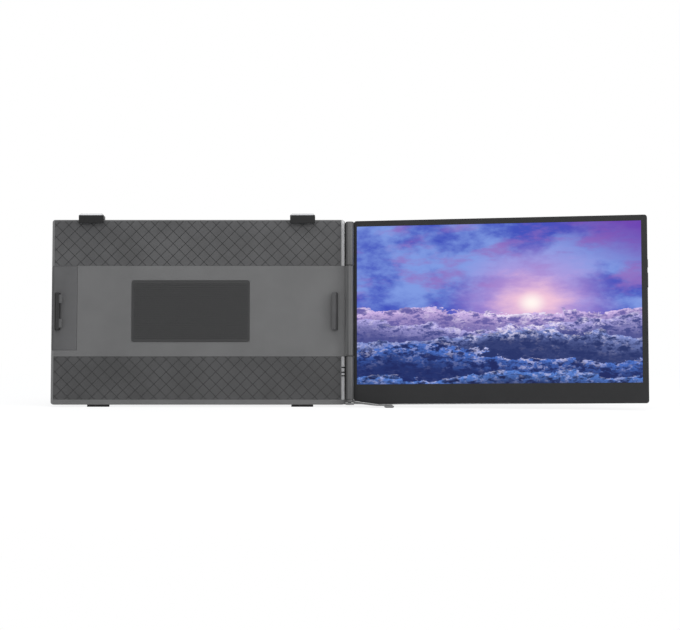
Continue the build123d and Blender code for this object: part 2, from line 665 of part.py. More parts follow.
def monitor_rear_shell():
    """Housing behind the display, with sockets, buttons, slots and vents cut in it."""
    x = (SCREEN_L, SCREEN_R)
    z = (0, SCREEN_H)
    shell = rounded(x, (BEZEL_BACK, SCREEN_BACK), z, SCREEN_CORNER)
    shell = chamfer(shell.faces().sort_by(Axis.Y)[-1].edges(), REAR_CHAMFER)
    shell -= corner_wedge((BEZEL_BACK - 1, SCREEN_BACK + 1), 0)
    inside = rounded(grown(x, -SHELL_WALL), (BEZEL_BACK - 1, SHELL_BACK_IN), grown(z, -SHELL_WALL),
                     SCREEN_CORNER - SHELL_WALL)
    shell -= inside - corner_wedge((BEZEL_BACK - 2, SCREEN_BACK), SHELL_WALL)
    shell += block((SCREEN_L - SCREEN_COVER, SCREEN_L), (BEZEL_BACK, BEZEL_BACK + COVER_T),
                   (LOW_KNUCKLE_Z[1] + COVER_FIT, TOP_KNUCKLE_Z[0] - COVER_FIT))
    for knuckle_z in (TOP_KNUCKLE_Z, LOW_KNUCKLE_Z):
        shell -= block((SCREEN_L - 1, SCREEN_L + SCREEN_CORNER), grown(FLANGE_Y, SEAT_FIT),
                       grown(knuckle_z, SEAT_FIT - FLANGE_MARGIN))
    for x0, z0 in board_posts():
        shell += rod_y(x0, (BOARD_Y[1], SHELL_BACK_IN), z0, BOSS_R)
    shell = cut_side_openings(shell)
    shell = cut_sound_slots(shell)
    shell = cut_vents(shell)
    return drill_back(shell, chin_screws(), SCREEN_BACK, SHELL_WALL)


def board_posts():
    """Places of the posts that carry the driver board."""
    left = INNER_R - BOARD_X
    return [(left + BOSS_R, BOARD_Z[0] + BOSS_R), (left + BOSS_R, BOARD_Z[1] - BOSS_R),
            (INNER_R - 4 * BOSS_R, BOARD_Z[1] - BOSS_R)]


def chin_screws():
    """Places of the screws along the chin."""
    return [(x, CHIN_SCREW_Z) for x in CHIN_SCREW_X]


def port_bar(x, height, z, grow):
    """A flat bar with rounded corners, the outer form of a socket."""
    y = grown((PORT_MID - PORT_T / 2, PORT_MID + PORT_T / 2), grow)
    bar = block(x, y, grown((z - height / 2, z + height / 2), grow))
    return fillet(bar.edges().filter_by(Axis.X), PORT_T / 2 + grow - PORT_CORNER)


def cut_side_openings(shell):
    """Openings in the outer side wall for the sockets and the buttons."""
    wall = (INNER_R - 1, SCREEN_R + 1)
    for z in USB_Z:
        shell -= port_bar(wall, USB_H, z, PORT_FIT)
    shell -= port_bar(wall, VIDEO_H, VIDEO_Z, PORT_FIT)
    shell -= rod_x(wall, JACK_Y, JACK_Z, JACK_R + PORT_FIT)
    shell -= button_bar(wall, POWER_L, POWER_Z, BUTTON_FIT)
    return shell - button_bar(wall, ROCKER_L, ROCKER_Z, BUTTON_FIT)


def cut_sound_slots(shell):
    """Slots in the bottom wall under each speaker."""
    for cx in SPEAKER_X:
        for i in range(SLOT_COUNT):
            x = cx + (i - (SLOT_COUNT - 1) / 2) * SLOT_PITCH
            slot_y = (BUTTON_MID - SLOT_L / 2, BUTTON_MID + SLOT_L / 2)
            shell -= block((x - SLOT_W / 2, x + SLOT_W / 2), slot_y, (-1, SHELL_WALL + 1))
    return shell


def cut_vents(shell):
    """A row of upright vents in the back."""
    mid = (SCREEN_L + SCREEN_R) / 2
    for i in range(VENT_COUNT):
        x = mid + (i - (VENT_COUNT - 1) / 2) * VENT_PITCH
        shell -= block((x - VENT_W / 2, x + VENT_W / 2), (SHELL_BACK_IN - 1, SCREEN_BACK + 1),
                       (VENT_Z - VENT_L / 2, VENT_Z + VENT_L / 2))
    return shell


def screen_bezel():
    """Front frame round the display."""
    z = (SHELL_RIM, SCREEN_H)
    bezel = rounded((SCREEN_L, SCREEN_R), (FACE, BEZEL_BACK), z, SCREEN_CORNER)
    bezel = chamfer(bezel.faces().sort_by(Axis.Y)[0].edges(), BEZEL_CHAMFER)
    bezel -= corner_wedge((FACE - 1, BEZEL_BACK + 1), SHELL_RIM)
    bezel -= block(WINDOW_X, (FACE - 1, BEZEL_BACK + 1), WINDOW_Z)
    bezel -= block(grown(DISPLAY_X, LAYER_GAP), (FACE + BEZEL_LIP, BEZEL_BACK + 1),
                   grown(DISPLAY_Z, LAYER_GAP))
    return add_bosses(bezel, chin_screws(), BEZEL_BACK - BEZEL_T / 2, SHELL_BACK_IN, SCREW_BITE)


def lcd_panel():
    """The display's glass cell."""
    return block(DISPLAY_X, DISPLAY_Y, DISPLAY_Z)


def backlight_unit():
    """Light guide and frame behind the glass cell."""
    return block(grown(DISPLAY_X, -BACKLIGHT_INSET), BACKLIGHT_Y, grown(DISPLAY_Z, -BACKLIGHT_INSET))


def driver_board():
    """Circuit board notched round the sockets, with three chips."""
    x = (INNER_R - BOARD_X, INNER_R - LAYER_GAP)
    board = block(x, BOARD_Y, BOARD_Z)
    notch = (SCREEN_R - PORT_DEPTH - PORT_FIT, SCREEN_R)
    for z, height in port_places():
        board -= block(notch, grown(BOARD_Y, 1), grown((z - height / 2, z + height / 2), PORT_FIT))
    for i in range(3):
        x0 = x[0] + (i + 0.5) * CHIP[0] * CHIP_SPREAD
        z0 = BOARD_Z[0] + (i + 1) * (BOARD_Z[1] - BOARD_Z[0]) / 4
        board += block((x0, x0 + CHIP[0]), (BOARD_Y[1], BOARD_Y[1] + CHIP[1]), (z0, z0 + CHIP[2]))
    return board


def port_places():
    """Height and length of each flat socket."""
    return [(z, USB_H) for z in USB_Z] + [(VIDEO_Z, VIDEO_H)]


def socket(height, z):
    """A flat metal socket with a tongue in it."""
    x = (SCREEN_R - PORT_DEPTH, SCREEN_R)
    shell = port_bar(x, height, z, 0)
    shell -= port_bar((x[0] + PORT_WALL, x[1] + 1), height, z, -PORT_WALL)
    tongue_z = (z - height / 2 * TONGUE_SHARE, z + height / 2 * TONGUE_SHARE)
    y = (PORT_MID - TONGUE[1] / 2, PORT_MID + TONGUE[1] / 2)
    return shell + block((x[0] + PORT_WALL / 2, x[0] + TONGUE[0]), y, tongue_z)


def usb_c_ports():
    """Two small flat sockets."""
    return Compound(children=[socket(USB_H, z) for z in USB_Z])


def audio_jack():
    """Round socket in the chin."""
    x = (SCREEN_R - JACK_DEPTH, SCREEN_R)
    jack = rod_x(x, JACK_Y, JACK_Z, JACK_R)
    return jack - rod_x((x[0] + PORT_WALL * 4, x[1] + 1), JACK_Y, JACK_Z, JACK_BORE_R)


def speakers():
    """Two speaker boxes on the chin's floor."""
    boxes = []
    for cx in SPEAKER_X:
        boxes.append(block((cx - SPEAKER[0] / 2, cx + SPEAKER[0] / 2),
                           (BEZEL_BACK + LAYER_GAP, BEZEL_BACK + LAYER_GAP + SPEAKER[1]),
                           (SHELL_WALL + LAYER_GAP, SHELL_WALL + LAYER_GAP + SPEAKER[2])))
    return Compound(children=boxes)


def panel_flex():
    """Flat cable from the driver board down the back of the light unit."""
    x = (INNER_R - BOARD_X, INNER_R - BOARD_X + FLEX_W)
    low = DISPLAY_Z[0] + BACKLIGHT_INSET
    top = BOARD_Z[0] + FLEX_LAP
    front = BACKLIGHT_Y[1] + LAYER_GAP
    strip = block(x, (front, front + FLEX_T), (low, top))
    return strip + block(x, (front, BOARD_Y[0]), (top - FLEX_T, top))


def button_bar(x, length, z, grow):
    """A flat bar across the side wall, the form of a button or its opening."""
    y = grown((BUTTON_MID - BUTTON_T / 2, BUTTON_MID + BUTTON_T / 2), grow)
    bar = block(x, y, grown((z - length / 2, z + length / 2), grow))
    return fillet(bar.edges().filter_by(Axis.X), BUTTON_T / 2 + grow - PORT_CORNER)


def power_flange_x():
    """Flange of the power button behind the side wall."""
    outer = INNER_R - LAYER_GAP
    return (outer - BUTTON_FLANGE_T, outer)


def rocker_flange_x():
    """Flange of the rocker, set in to leave room for its swing."""
    outer = INNER_R - LAYER_GAP - rocker_throw()
    return (outer - BUTTON_FLANGE_T, outer)


def rocker_throw():
    """How far the rocker's flange moves at its ends."""
    return (ROCKER_L / 2 + BUTTON_FLANGE) * sin(radians(ROCKER_SWING))


def button(flange_x, length, z):
    """A button cap with a flange that keeps it in the housing."""
    cap = button_bar((flange_x[0], SCREEN_R + BUTTON_PROUD), length, z, 0)
    flange_y = grown((BUTTON_MID - BUTTON_T / 2, BUTTON_MID + BUTTON_T / 2), BUTTON_FLANGE)
    flange_z = grown((z - length / 2, z + length / 2), BUTTON_FLANGE)
    return cap + block(flange_x, flange_y, flange_z)


def button_board():
    """Small upright board with a switch behind each button position."""
    face = SCREEN_R - BUTTON_BOARD_X
    z = (ROCKER_Z - ROCKER_L / 2 - BUTTON_BOARD_END, POWER_Z + POWER_L / 2 + BUTTON_BOARD_END)
    board = block((face - BUTTON_BOARD_T, face), (BEZEL_BACK + LAYER_GAP, SHELL_BACK_IN), z)
    rocker_top = rocker_flange_x()[0] - rocker_throw() - SWITCH_GAP
    power_top = power_flange_x()[0] - BUTTON_TRAVEL - SWITCH_GAP
    reach = ROCKER_L / 2 - SWITCH_L / 2
    switches = ((POWER_Z, power_top), (ROCKER_Z - reach, rocker_top), (ROCKER_Z + reach, rocker_top))
    for z0, top in switches:
        board += block((face, top), (BUTTON_MID - SWITCH_L / 2, BUTTON_MID + SWITCH_L / 2),
                       (z0 - SWITCH_L / 2, z0 + SWITCH_L / 2))
    return board


# Leg, drawn level on the desk

def leg_bracket():
    """Lug under the lower knuckle that the leg turns in, with a flange in the holder."""
    cheek = [(BASE_R, FACE), (BASE_R, 0), (0, -BARREL_R), (0, FACE)]
    lug = base_leaf(LUG_Z) + prism_z(cheek, LUG_Z)
    lug += block((BASE_R - LUG_FLANGE_L, BASE_R), SPINE_Y, (REAR_WALL, LUG_FLANGE_TOP))
    hole = rod_z(0, 0, (0, HUB_TOP + LEG_PLAY + LEG_PIN_IN_LUG), LEG_PIN_R + SHAFT_FIT)
    return lean(lug) - hole


def leg_pin():
    """Headed pin riveted in the leg's hub."""
    head = rod_z(0, 0, (HUB_Z[0] - LEG_PIN_HEAD_T, HUB_Z[0]), LEG_PIN_HEAD_R)
    return head + rod_z(0, 0, (HUB_Z[0], HUB_TOP + LEG_PIN_IN_LUG), LEG_PIN_R)


def leg_arm():
    """Flat steel arm that drops from the hub to the foot."""
    end = LEG_LENGTH + LEG_W
    profile = [(-LEG_W, HUB_Z[0]), (LEG_BEND[0], HUB_Z[0]), (LEG_BEND[1], ANKLE_Z[0]), (end, ANKLE_Z[0]),
               (end, ANKLE_Z[1]), (LEG_BEND[1], ANKLE_Z[1]), (LEG_BEND[0], HUB_Z[1]), (-LEG_W, HUB_Z[1])]
    arm = prism_y(profile, (-LEG_W, LEG_W))
    arm = arm & slot_z((0, 0), (LEG_LENGTH, 0), LEG_W, (0, 2 * HUB_TOP))
    arm -= rod_z(0, 0, (0, 2 * HUB_TOP), LEG_PIN_R + SEAT_FIT)
    arm -= rod_z(LEG_LENGTH, 0, (0, 2 * HUB_TOP), LEG_PIN_R + SHAFT_FIT)
    return Rot(0, 0, LEG_ANGLE) * arm


def leg_foot():
    """Foot bar across the arm's end: a square head and a long round tail."""
    x, y = ANKLE
    head = block((x - FOOT_W / 2, x + FOOT_W / 2), (y - FOOT_FRONT, y + FOOT_HEAD_REAR), FOOT_Z)
    head = fillet(head.edges().filter_by(Axis.Z), FOOT_CORNER)
    foot = head + slot_z(ANKLE, (x, y + FOOT_REAR - LEG_W / 2), LEG_W, FOOT_Z)
    return foot - rod_z(x, y, grown(FOOT_Z, 1), LEG_PIN_R + SEAT_FIT)


def foot_pin():
    """Rivet that joins foot and arm."""
    return rod_z(*ANKLE, (FOOT_Z[0], ANKLE_Z[1]), LEG_PIN_R)


def foot_pads():
    """Soft pads under the foot's head and tail."""
    x, y = ANKLE
    side = FOOT_W / 2 - FOOT_PAD_INSET
    head_y = (y - FOOT_FRONT + FOOT_PAD_INSET, y + FOOT_HEAD_REAR - FOOT_PAD_INSET)
    front = block((x - side, x + side), head_y, (0, FOOT_PAD_T))
    end = y + FOOT_REAR - LEG_W / 2
    rear = slot_z((x, end - FOOT_PAD_L), (x, end), LEG_W - 2 * FOOT_PAD_INSET, (0, FOOT_PAD_T))
    return Compound(children=[front, rear])


# Assembly

def build_parts():
    """Every piece in its place, by name."""
    held = {
        "base_rear_shell": base_rear_shell(),
        "base_front_frame": base_front_frame(),
        "upper_texture_panel": texture_panel(UPPER_PANEL_Z),
        "lower_texture_panel": texture_panel(LOWER_PANEL_Z),
        "centre_pad": centre_pad(),
        "right_clip": side_clip(RIGHT_CLIP_X, -1),
        "right_clip_pad": clip_pad(RIGHT_CLIP_X, -1),
        "arm_guides": arm_guides(),
        "hook_guides": hook_guides(),
        "base_stiffener": base_stiffener(),
        "base_screws": back_screws(BASE_SCREWS, BASE_BACK, REAR_WALL, SCREW_BITE),
        "edge_bumper": edge_bumper(),
        "hinge_spine": hinge_spine(),
        "upper_friction_sleeve": friction_sleeve(1),
        "lower_friction_sleeve": friction_sleeve(0),
        "left_slide_arm": left_slide_arm(),
        "left_clip": side_clip(LEFT_CLIP_X, 1),
        "left_clip_pad": clip_pad(LEFT_CLIP_X, 1),
        "left_top_hook": top_hook(HOOK_X[0]),
        "left_hook_pad": hook_pad(HOOK_X[0]),
        "right_top_hook": top_hook(HOOK_X[1]),
        "right_hook_pad": hook_pad(HOOK_X[1]),
    }
    swung = {
        "monitor_rear_shell": monitor_rear_shell(),
        "screen_bezel": screen_bezel(),
        "lcd_panel": lcd_panel(),
        "backlight_unit": backlight_unit(),
        "driver_board": driver_board(),
        "panel_flex": panel_flex(),
        "usb_c_ports": usb_c_ports(),
        "mini_video_port": socket(VIDEO_H, VIDEO_Z),
        "audio_jack": audio_jack(),
        "speakers": speakers(),
        "button_board": button_board(),
        "power_button": button(power_flange_x(), POWER_L, POWER_Z),
        "menu_rocker": button(rocker_flange_x(), ROCKER_L, ROCKER_Z),
        "monitor_screws": back_screws(chin_screws(), SCREEN_BACK, SHELL_WALL, SCREW_BITE),
        "upper_knuckle": upper_knuckle(),
        "lower_knuckle": lower_knuckle(),
        "upper_hinge_shaft": upper_hinge_shaft(),
        "lower_hinge_shaft": lower_hinge_shaft(),
        "hinge_caps": hinge_caps(),
    }
    level = {
        "base_feet": base_feet(),
        "leg_bracket": leg_bracket(),
        "leg_pin": leg_pin(),
        "leg_arm": leg_arm(),
        "leg_foot": leg_foot(),
        "foot_pin": foot_pin(),
        "foot_pads": foot_pads(),
    }
    parts = {name: lean(shape) for name, shape in held.items()}
    parts.update({name: swing(shape) for name, shape in swung.items()})
    parts.update(level)
    return parts


def centre_shift(parts):
    """Move that puts the middle of the whole footprint at the origin."""
    box = Compound(children=[Compound(list(shape.solids())) for shape in parts.values()]).bounding_box()
    return Vector(-(box.min.X + box.max.X) / 2, -(box.min.Y + box.max.Y) / 2, 0)


def main():
    """Write one file per piece."""
    os.makedirs("parts", exist_ok=True)
    parts = build_parts()
    shift = centre_shift(parts)
    print("shift", round(shift.X, 4), round(shift.Y, 4))
    for name, shape in parts.items():
        placed = Pos(shift.X, shift.Y, 0) * Compound(list(shape.solids()))
        export_step(placed, f"parts/{name}.step")


if __name__ == "__main__":
    main()
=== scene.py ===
# %% [markdown]
# # A clip-on side screen
# A flat holder has two hooks along its top and a clip at each side, and a thin screen hangs on an
# upright hinge at its right edge. The measured model is loaded as a fixed frame. This file gives
# each piece its finish and adds what is too fine to measure: the lattice, ribs, screw heads and
# contacts.

# %% Load the frame
import bmesh
import bpy
import json
import math
from mathutils import Euler, Matrix, Vector


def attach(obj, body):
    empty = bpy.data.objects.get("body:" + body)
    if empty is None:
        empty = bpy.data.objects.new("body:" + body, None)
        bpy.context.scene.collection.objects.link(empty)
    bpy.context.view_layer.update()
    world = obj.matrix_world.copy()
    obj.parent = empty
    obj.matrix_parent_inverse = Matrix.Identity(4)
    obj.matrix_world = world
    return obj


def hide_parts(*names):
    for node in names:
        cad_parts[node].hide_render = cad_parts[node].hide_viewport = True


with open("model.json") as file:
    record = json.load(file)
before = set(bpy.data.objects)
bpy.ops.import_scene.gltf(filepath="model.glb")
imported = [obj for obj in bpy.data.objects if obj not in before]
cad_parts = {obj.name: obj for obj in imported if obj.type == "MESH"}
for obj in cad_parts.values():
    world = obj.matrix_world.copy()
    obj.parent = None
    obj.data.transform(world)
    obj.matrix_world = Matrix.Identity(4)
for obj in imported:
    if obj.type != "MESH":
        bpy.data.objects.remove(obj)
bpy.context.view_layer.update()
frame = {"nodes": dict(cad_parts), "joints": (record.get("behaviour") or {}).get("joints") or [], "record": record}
nodes = frame["nodes"]
print("loaded", len(nodes), "measured pieces")

# %% [markdown]
# The holder leans back and the screen is turned on the hinge, so most pieces are easier to draw
# in their own upright frame. Two matrices take such a drawing to its place. They are read from
# the hinge itself, so the looks follow the model if the stance changes.

# %% Places of the holder and the screen
joints = {j["name"]: j for j in frame["joints"]}
hinge = joints["screen_hinge"]
lean = math.atan2(hinge["axis"][1], hinge["axis"][2])
turn = math.radians(hinge["range_deg"][1])
HOLDER = Matrix.Translation(hinge["pos_m"]) @ Matrix.Rotation(-lean, 4, "X")
SCREEN = HOLDER @ Matrix.Rotation(-turn, 4, "Z")
MM = 0.001
print("lean", round(math.degrees(lean), 2), "turn", round(math.degrees(turn), 2))


def span(node, place):
    """Lowest and highest corner of a piece in its own upright frame, in millimetres."""
    back = place.inverted()
    points = [back @ v.co for v in nodes[node].data.vertices]
    low = Vector([min(p[i] for p in points) for i in range(3)]) / MM
    high = Vector([max(p[i] for p in points) for i in range(3)]) / MM
    return low, high


# %% [markdown]
# The camera comes first, because every choice of colour is judged through it. It stands two
# metres off, a little above the middle of the screen, and looks down by one degree. A long lens
# keeps the upright lines nearly parallel. The place is counted from the hinge, the height from
# the floor.

# %% Camera
LENS, SENSOR_WIDTH = 96.83, 36.0
CAMERA_ACROSS, CAMERA_BACK, CAMERA_HEIGHT = -0.0106, -1.9986, 0.1357
LOOK_DOWN = 1.0

scene = bpy.context.scene
camera_data = bpy.data.cameras.new("camera")
camera_data.lens = LENS
camera_data.sensor_width = SENSOR_WIDTH
camera = bpy.data.objects.new("camera", camera_data)
scene.collection.objects.link(camera)
hinge_at = Vector(hinge["pos_m"])
camera.location = hinge_at + Vector((CAMERA_ACROSS, CAMERA_BACK, CAMERA_HEIGHT - hinge_at.z))
camera.rotation_euler = Euler((math.radians(90.0 - LOOK_DOWN), 0, 0))
scene.camera = camera
scene.view_settings.view_transform = "Standard"
print("camera at", tuple(round(c, 3) for c in camera.location))

# %% [markdown]
# The world, the floor and every finish are trees of nodes. Written out in full, a node takes a
# line to make it, one for each plain value and one for each link. The helpers do that in one
# call: an input is given as a number, a colour or another node's output.

# %% Helpers for node trees
def fresh_tree(owner):
    """The empty node tree of a material or a world."""
    owner.use_nodes = True
    owner.node_tree.nodes.clear()
    return owner.node_tree


def put(tree, value, socket):
    """A number, a colour or another node's output into a socket."""
    if isinstance(value, bpy.types.NodeSocket):
        tree.links.new(value, socket)
    else:
        socket.default_value = value


def fill(tree, node, values):
    """Values by the names of their sockets."""
    for name, value in values.items():
        put(tree, value, node.inputs[name.replace("_", " ")])


def add(tree, kind, *inputs, **named):
    """A new node, with its inputs in order or by name."""
    node = tree.nodes.new(kind)
    for value, socket in zip(inputs, node.inputs):
        put(tree, value, socket)
    fill(tree, node, named)
    return node


# %% [markdown]
# A studio for dark plastic: broad lamps above, in front and behind, a strip to the right that
# catches the bright bevels, and an even world light, so that a colour renders about as it is
# written. The floor and the world turn white only where the camera or a reflection sees them.

# %% Light
LAMP_TARGET = (0, 0, 0.1)
WORLD_LIGHT, WHITE = 0.55, (1, 1, 1, 1)


def area_lamp(name, place, size, watts):
    """A soft lamp that faces the middle of the object."""
    data = bpy.data.lights.new(name, "AREA")
    data.shape = "RECTANGLE"
    data.size, data.size_y = size
    data.energy = watts
    lamp = bpy.data.objects.new(name, data)
    scene.collection.objects.link(lamp)
    lamp.location = place
    aim = Vector(LAMP_TARGET) - Vector(place)
    lamp.rotation_euler = aim.to_track_quat("-Z", "Y").to_euler()


area_lamp("lamp_top", (0.1, -0.35, 1.5), (1.8, 1.0), 17)
area_lamp("lamp_front", (0.5, -2.2, 1.1), (1.6, 1.2), 11)
area_lamp("lamp_right", (1.5, -0.9, 0.6), (0.6, 1.0), 12)
area_lamp("lamp_back", (-0.6, 2.0, 1.0), (1.6, 1.2), 12)


def seen_ray(tree):
    """1 where the camera, a reflection or clear glass looks, 0 for light on a matt surface."""
    path = add(tree, "ShaderNodeLightPath")
    seen = path.outputs["Is Camera Ray"]
    for kind in ("Is Glossy Ray", "Is Transmission Ray"):
        either = add(tree, "ShaderNodeMath", seen, path.outputs[kind])
        either.operation = "MAXIMUM"
        seen = either.outputs[0]
    return seen


scene.world = bpy.data.worlds.new("studio")
tree = fresh_tree(scene.world)
ambient = add(tree, "ShaderNodeBackground", (0.93, 0.95, 1.0, 1), WORLD_LIGHT)
backdrop = add(tree, "ShaderNodeBackground", WHITE, 1.0)
choose = add(tree, "ShaderNodeMixShader", seen_ray(tree), ambient.outputs[0],
             backdrop.outputs[0])
add(tree, "ShaderNodeOutputWorld", choose.outputs[0])
print("lamps:", len(bpy.data.lights))

# %% [markdown]
# The floor is a plain pale sheet, twelve metres wide. Near the object it keeps the soft shadow,
# and further out it fades to the white of the backdrop, so that no horizon shows.

# %% Floor
FLOOR_HALF = 6
FADE_FROM, FADE_TO, WHITE_NEAR, WHITE_FAR = 0.45, 1.1, 0.8, 1.0

bm = bmesh.new()
bmesh.ops.create_grid(bm, x_segments=1, y_segments=1, size=FLOOR_HALF)
floor_mesh = bpy.data.meshes.new("floor")
bm.to_mesh(floor_mesh)
bm.free()
floor = bpy.data.objects.new("floor", floor_mesh)
scene.collection.objects.link(floor)

floor_look = bpy.data.materials.new("pale_floor")
tree = fresh_tree(floor_look)
matt = add(tree, "ShaderNodeBsdfDiffuse", (0.9, 0.9, 0.9, 1))
glow = add(tree, "ShaderNodeEmission", WHITE)
where = add(tree, "ShaderNodeTexCoord")
away = add(tree, "ShaderNodeVectorMath", where.outputs["Object"])
away.operation = "LENGTH"
fade = add(tree, "ShaderNodeMapRange", away.outputs["Value"], FADE_FROM, FADE_TO, WHITE_NEAR,
           WHITE_FAR)
fade.interpolation_type = "SMOOTHSTEP"
share = add(tree, "ShaderNodeMath", seen_ray(tree), fade.outputs[0])
share.operation = "MULTIPLY"
blend = add(tree, "ShaderNodeMixShader", share.outputs[0], matt.outputs[0], glow.outputs[0])
add(tree, "ShaderNodeOutputMaterial", blend.outputs[0])
floor_mesh.materials.append(floor_look)
print("floor", 2 * FLOOR_HALF, "metres wide")

# %% [markdown]
# Every finish is a small tree. The Mapping node turns the pattern into the piece's own upright
# frame, so grain and brushing run along the piece and not along the room. Each method adds one
# node and gives its output, so a tree reads like a sum.

# %% Finishes as small trees
class Finish:
    """A material under construction."""

    def __init__(self, name, place):
        self.material = bpy.data.materials.new(name)
        self.tree = fresh_tree(self.material)
        self.shader = self.add("ShaderNodeBsdfPrincipled")
        self.add("ShaderNodeOutputMaterial", self.shader.outputs[0])
        where = self.add("ShaderNodeTexCoord")
        mapping = self.add("ShaderNodeMapping", where.outputs["Object"],
                           place.to_translation(), place.to_euler())
        mapping.vector_type = "TEXTURE"
        self.point = mapping.outputs[0]

    def add(self, kind, *inputs, **named):
        """A new node in this finish's tree."""
        return add(self.tree, kind, *inputs, **named)

    def math(self, operation, *values, clamp=False):
        """One sum or comparison of numbers or outputs."""
        node = self.add("ShaderNodeMath", *values)
        node.operation, node.use_clamp = operation, clamp
        return node.outputs[0]

    def smooth(self, value, low, high, to_low=0.0, to_high=1.0):
        """A soft step from low to high."""
        node = self.add("ShaderNodeMapRange", value, low, high, to_low, to_high)
        node.interpolation_type = "SMOOTHSTEP"
        return node.outputs[0]

    def axes(self):
        """Across, back and up of the piece's own frame, in metres."""
        return tuple(self.add("ShaderNodeSeparateXYZ", self.point).outputs)

    def noise(self, scale, detail, rough, stretch=None):
        """Noise with its scale in waves a metre, stretched where asked."""
        point = self.point
        if stretch:
            point = self.add("ShaderNodeMapping", point, Scale=stretch).outputs[0]
        return self.add("ShaderNodeTexNoise", point, Scale=scale, Detail=detail,
                        Roughness=rough).outputs["Fac"]

    def mix(self, share, first, second):
        """Colour between two colours; the node's sockets depend on its kind, set first."""
        node = self.add("ShaderNodeMix")
        node.data_type = "RGBA"
        fill(self.tree, node, {"Factor": share, "A": first, "B": second})
        return node.outputs["Result"]

    def done(self, colour, rough, relief=None, depth=0.0, **values):
        """The finished material: relief in metres, values on the shader's own sockets."""
        if relief is not None:
            bump = self.add("ShaderNodeBump", Strength=1.0, Distance=depth, Height=relief)
            values["Normal"] = bump.outputs[0]
        fill(self.tree, self.shader, {"Base Color": colour, "Roughness": rough, **values})
        return self.material


def grey(level, tint=(1, 1, 1)):
    """Linear colour of a screen grey from 0 to 255."""
    share = level / 255
    linear = share / 12.92 if share <= 0.04045 else ((share + 0.055) / 1.055) ** 2.4
    return tuple(linear * t for t in tint) + (1.0,)


# %% [markdown]
# The housings are moulded plastic with a fine spark-eroded grain. Under a loupe it is a field of
# tiny bumps, so most of its look is a broad, soft highlight. Two scales of noise make it: one
# for the grain's relief and one, much wider, for the slight unevenness of gloss and colour that
# handling leaves.

# %% Moulded plastic
HANDLING = (18, 3, 0.6)  # scale, detail and roughness of the wide unevenness


def moulded(name, place, level, rough, grain=1800, depth=0.00003, tint=(1, 1, 1.02), drift=0.07,
            shine=0.42):
    """Grained plastic of a screen grey level."""
    look = Finish(name, place)
    wide, fine = look.noise(*HANDLING), look.noise(grain, 2, 0.55)
    low, high = grey(level * (1 - drift), tint), grey(level * (1 + drift), tint)
    uneven = look.smooth(wide, 0.25, 0.75, rough - 0.05, rough + 0.06)
    return look.done(look.mix(look.smooth(wide, 0.3, 0.7), low, high),
                     look.math("ADD", uneven, look.smooth(fine, 0.3, 0.7, -0.03, 0.03)),
                     fine, depth, Specular_IOR_Level=shine)


# %% [markdown]
# Rubber is duller than plastic and shows a faint bloom. Its highlight is almost gone, so the
# shape is carried by the ribs and the dark creases between them.

# %% Rubber
def soft_rubber(name, place, level=38):
    """Matt rubber with a slight bloom."""
    look = Finish(name, place)
    cloud = look.noise(90, 4, 0.65)
    return look.done(look.mix(cloud, grey(level - 5), grey(level + 6)),
                     look.smooth(cloud, 0.3, 0.7, 0.78, 0.92),
                     look.noise(2600, 2, 0.5), 0.00002, Specular_IOR_Level=0.25)


# %% [markdown]
# The hinge and the leg are painted or plated metal. Paint gets a fine orange-peel ripple, and
# bare steel a brushed grain: the same noise, but drawn out along the direction of the brush.

# %% Metals
ORANGE_PEEL, PAINT_DRIFT = (700, 2, 0.5), (25, 2, 0.5)
PAINT_RELIEF = 0.00001


def painted_metal(name, place, level, rough=0.38):
    """Satin paint on metal."""
    look = Finish(name, place)
    ripple, wide = look.noise(*ORANGE_PEEL), look.noise(*PAINT_DRIFT)
    colour = look.mix(look.smooth(wide, 0.3, 0.7), grey(level * 0.95), grey(level * 1.05))
    return look.done(colour, look.smooth(wide, 0.3, 0.7, rough - 0.04, rough + 0.05),
                     ripple, PAINT_RELIEF, Metallic=0.35, Specular_IOR_Level=0.5)


def brushed_metal(name, place, level, rough=0.32, stretch=(60, 60, 2500)):
    """Bare metal with a brushed grain; the stretch is small along the brushing."""
    look = Finish(name, place)
    lines = look.noise(1.0, 3, 0.6, stretch)
    return look.done(look.mix(lines, grey(level * 0.9), grey(level * 1.08)),
                     look.smooth(lines, 0.3, 0.7, rough - 0.08, rough + 0.1),
                     lines, 0.000008, Metallic=1.0)


# %% [markdown]
# Each piece gets the recipe of its own material. The numbers are screen greys, chosen so that the
# piece comes out as dark as the real one under this light: nearly black for the hooks and the
# bezel, a little lighter for the clips, and mid grey for the arm and the painted leg.

# %% Finishes of the holder, the screen and the leg
ROOM = Matrix.Identity(4)
arm_grey = moulded("arm_plastic", HOLDER, 70, 0.5)
clip_black = moulded("clip_plastic", HOLDER, 62, 0.42, 2400, 0.000015, shine=0.3)
hook_black = moulded("hook_plastic", HOLDER, 22, 0.42, 2400, 0.000015, shine=0.2)
# A painted highlight for the hooks' sloped tops, which face the light.
hook_slope_highlight = moulded("hook_slope_painted_highlight", HOLDER, 180, 0.5, 2400, 0.000015)
bezel_black = moulded("bezel_plastic", SCREEN, 40, 0.55, 2600, 0.00001, drift=0.04, shine=0.12)
button_black = moulded("button_plastic", SCREEN, 58, 0.35, 2600, 0.00001)
nylon = moulded("nylon", HOLDER, 205, 0.5, 1200, 0.00001, (1, 0.99, 0.94))
speaker_black = moulded("speaker_plastic", SCREEN, 30, 0.6)
rubber = soft_rubber("holder_rubber", HOLDER)
pad_rubber = soft_rubber("pad_rubber", HOLDER, 54)
desk_rubber = soft_rubber("desk_rubber", ROOM, 28)
leg_paint = painted_metal("leg_paint", ROOM, 112)
bracket_paint = painted_metal("bracket_paint", HOLDER, 74, 0.5)
steel = brushed_metal("hinge_steel", HOLDER, 185)
plate_steel = brushed_metal("plate_steel", HOLDER, 175, 0.4, (2500, 60, 60))
print("finishes:", len(bpy.data.materials))
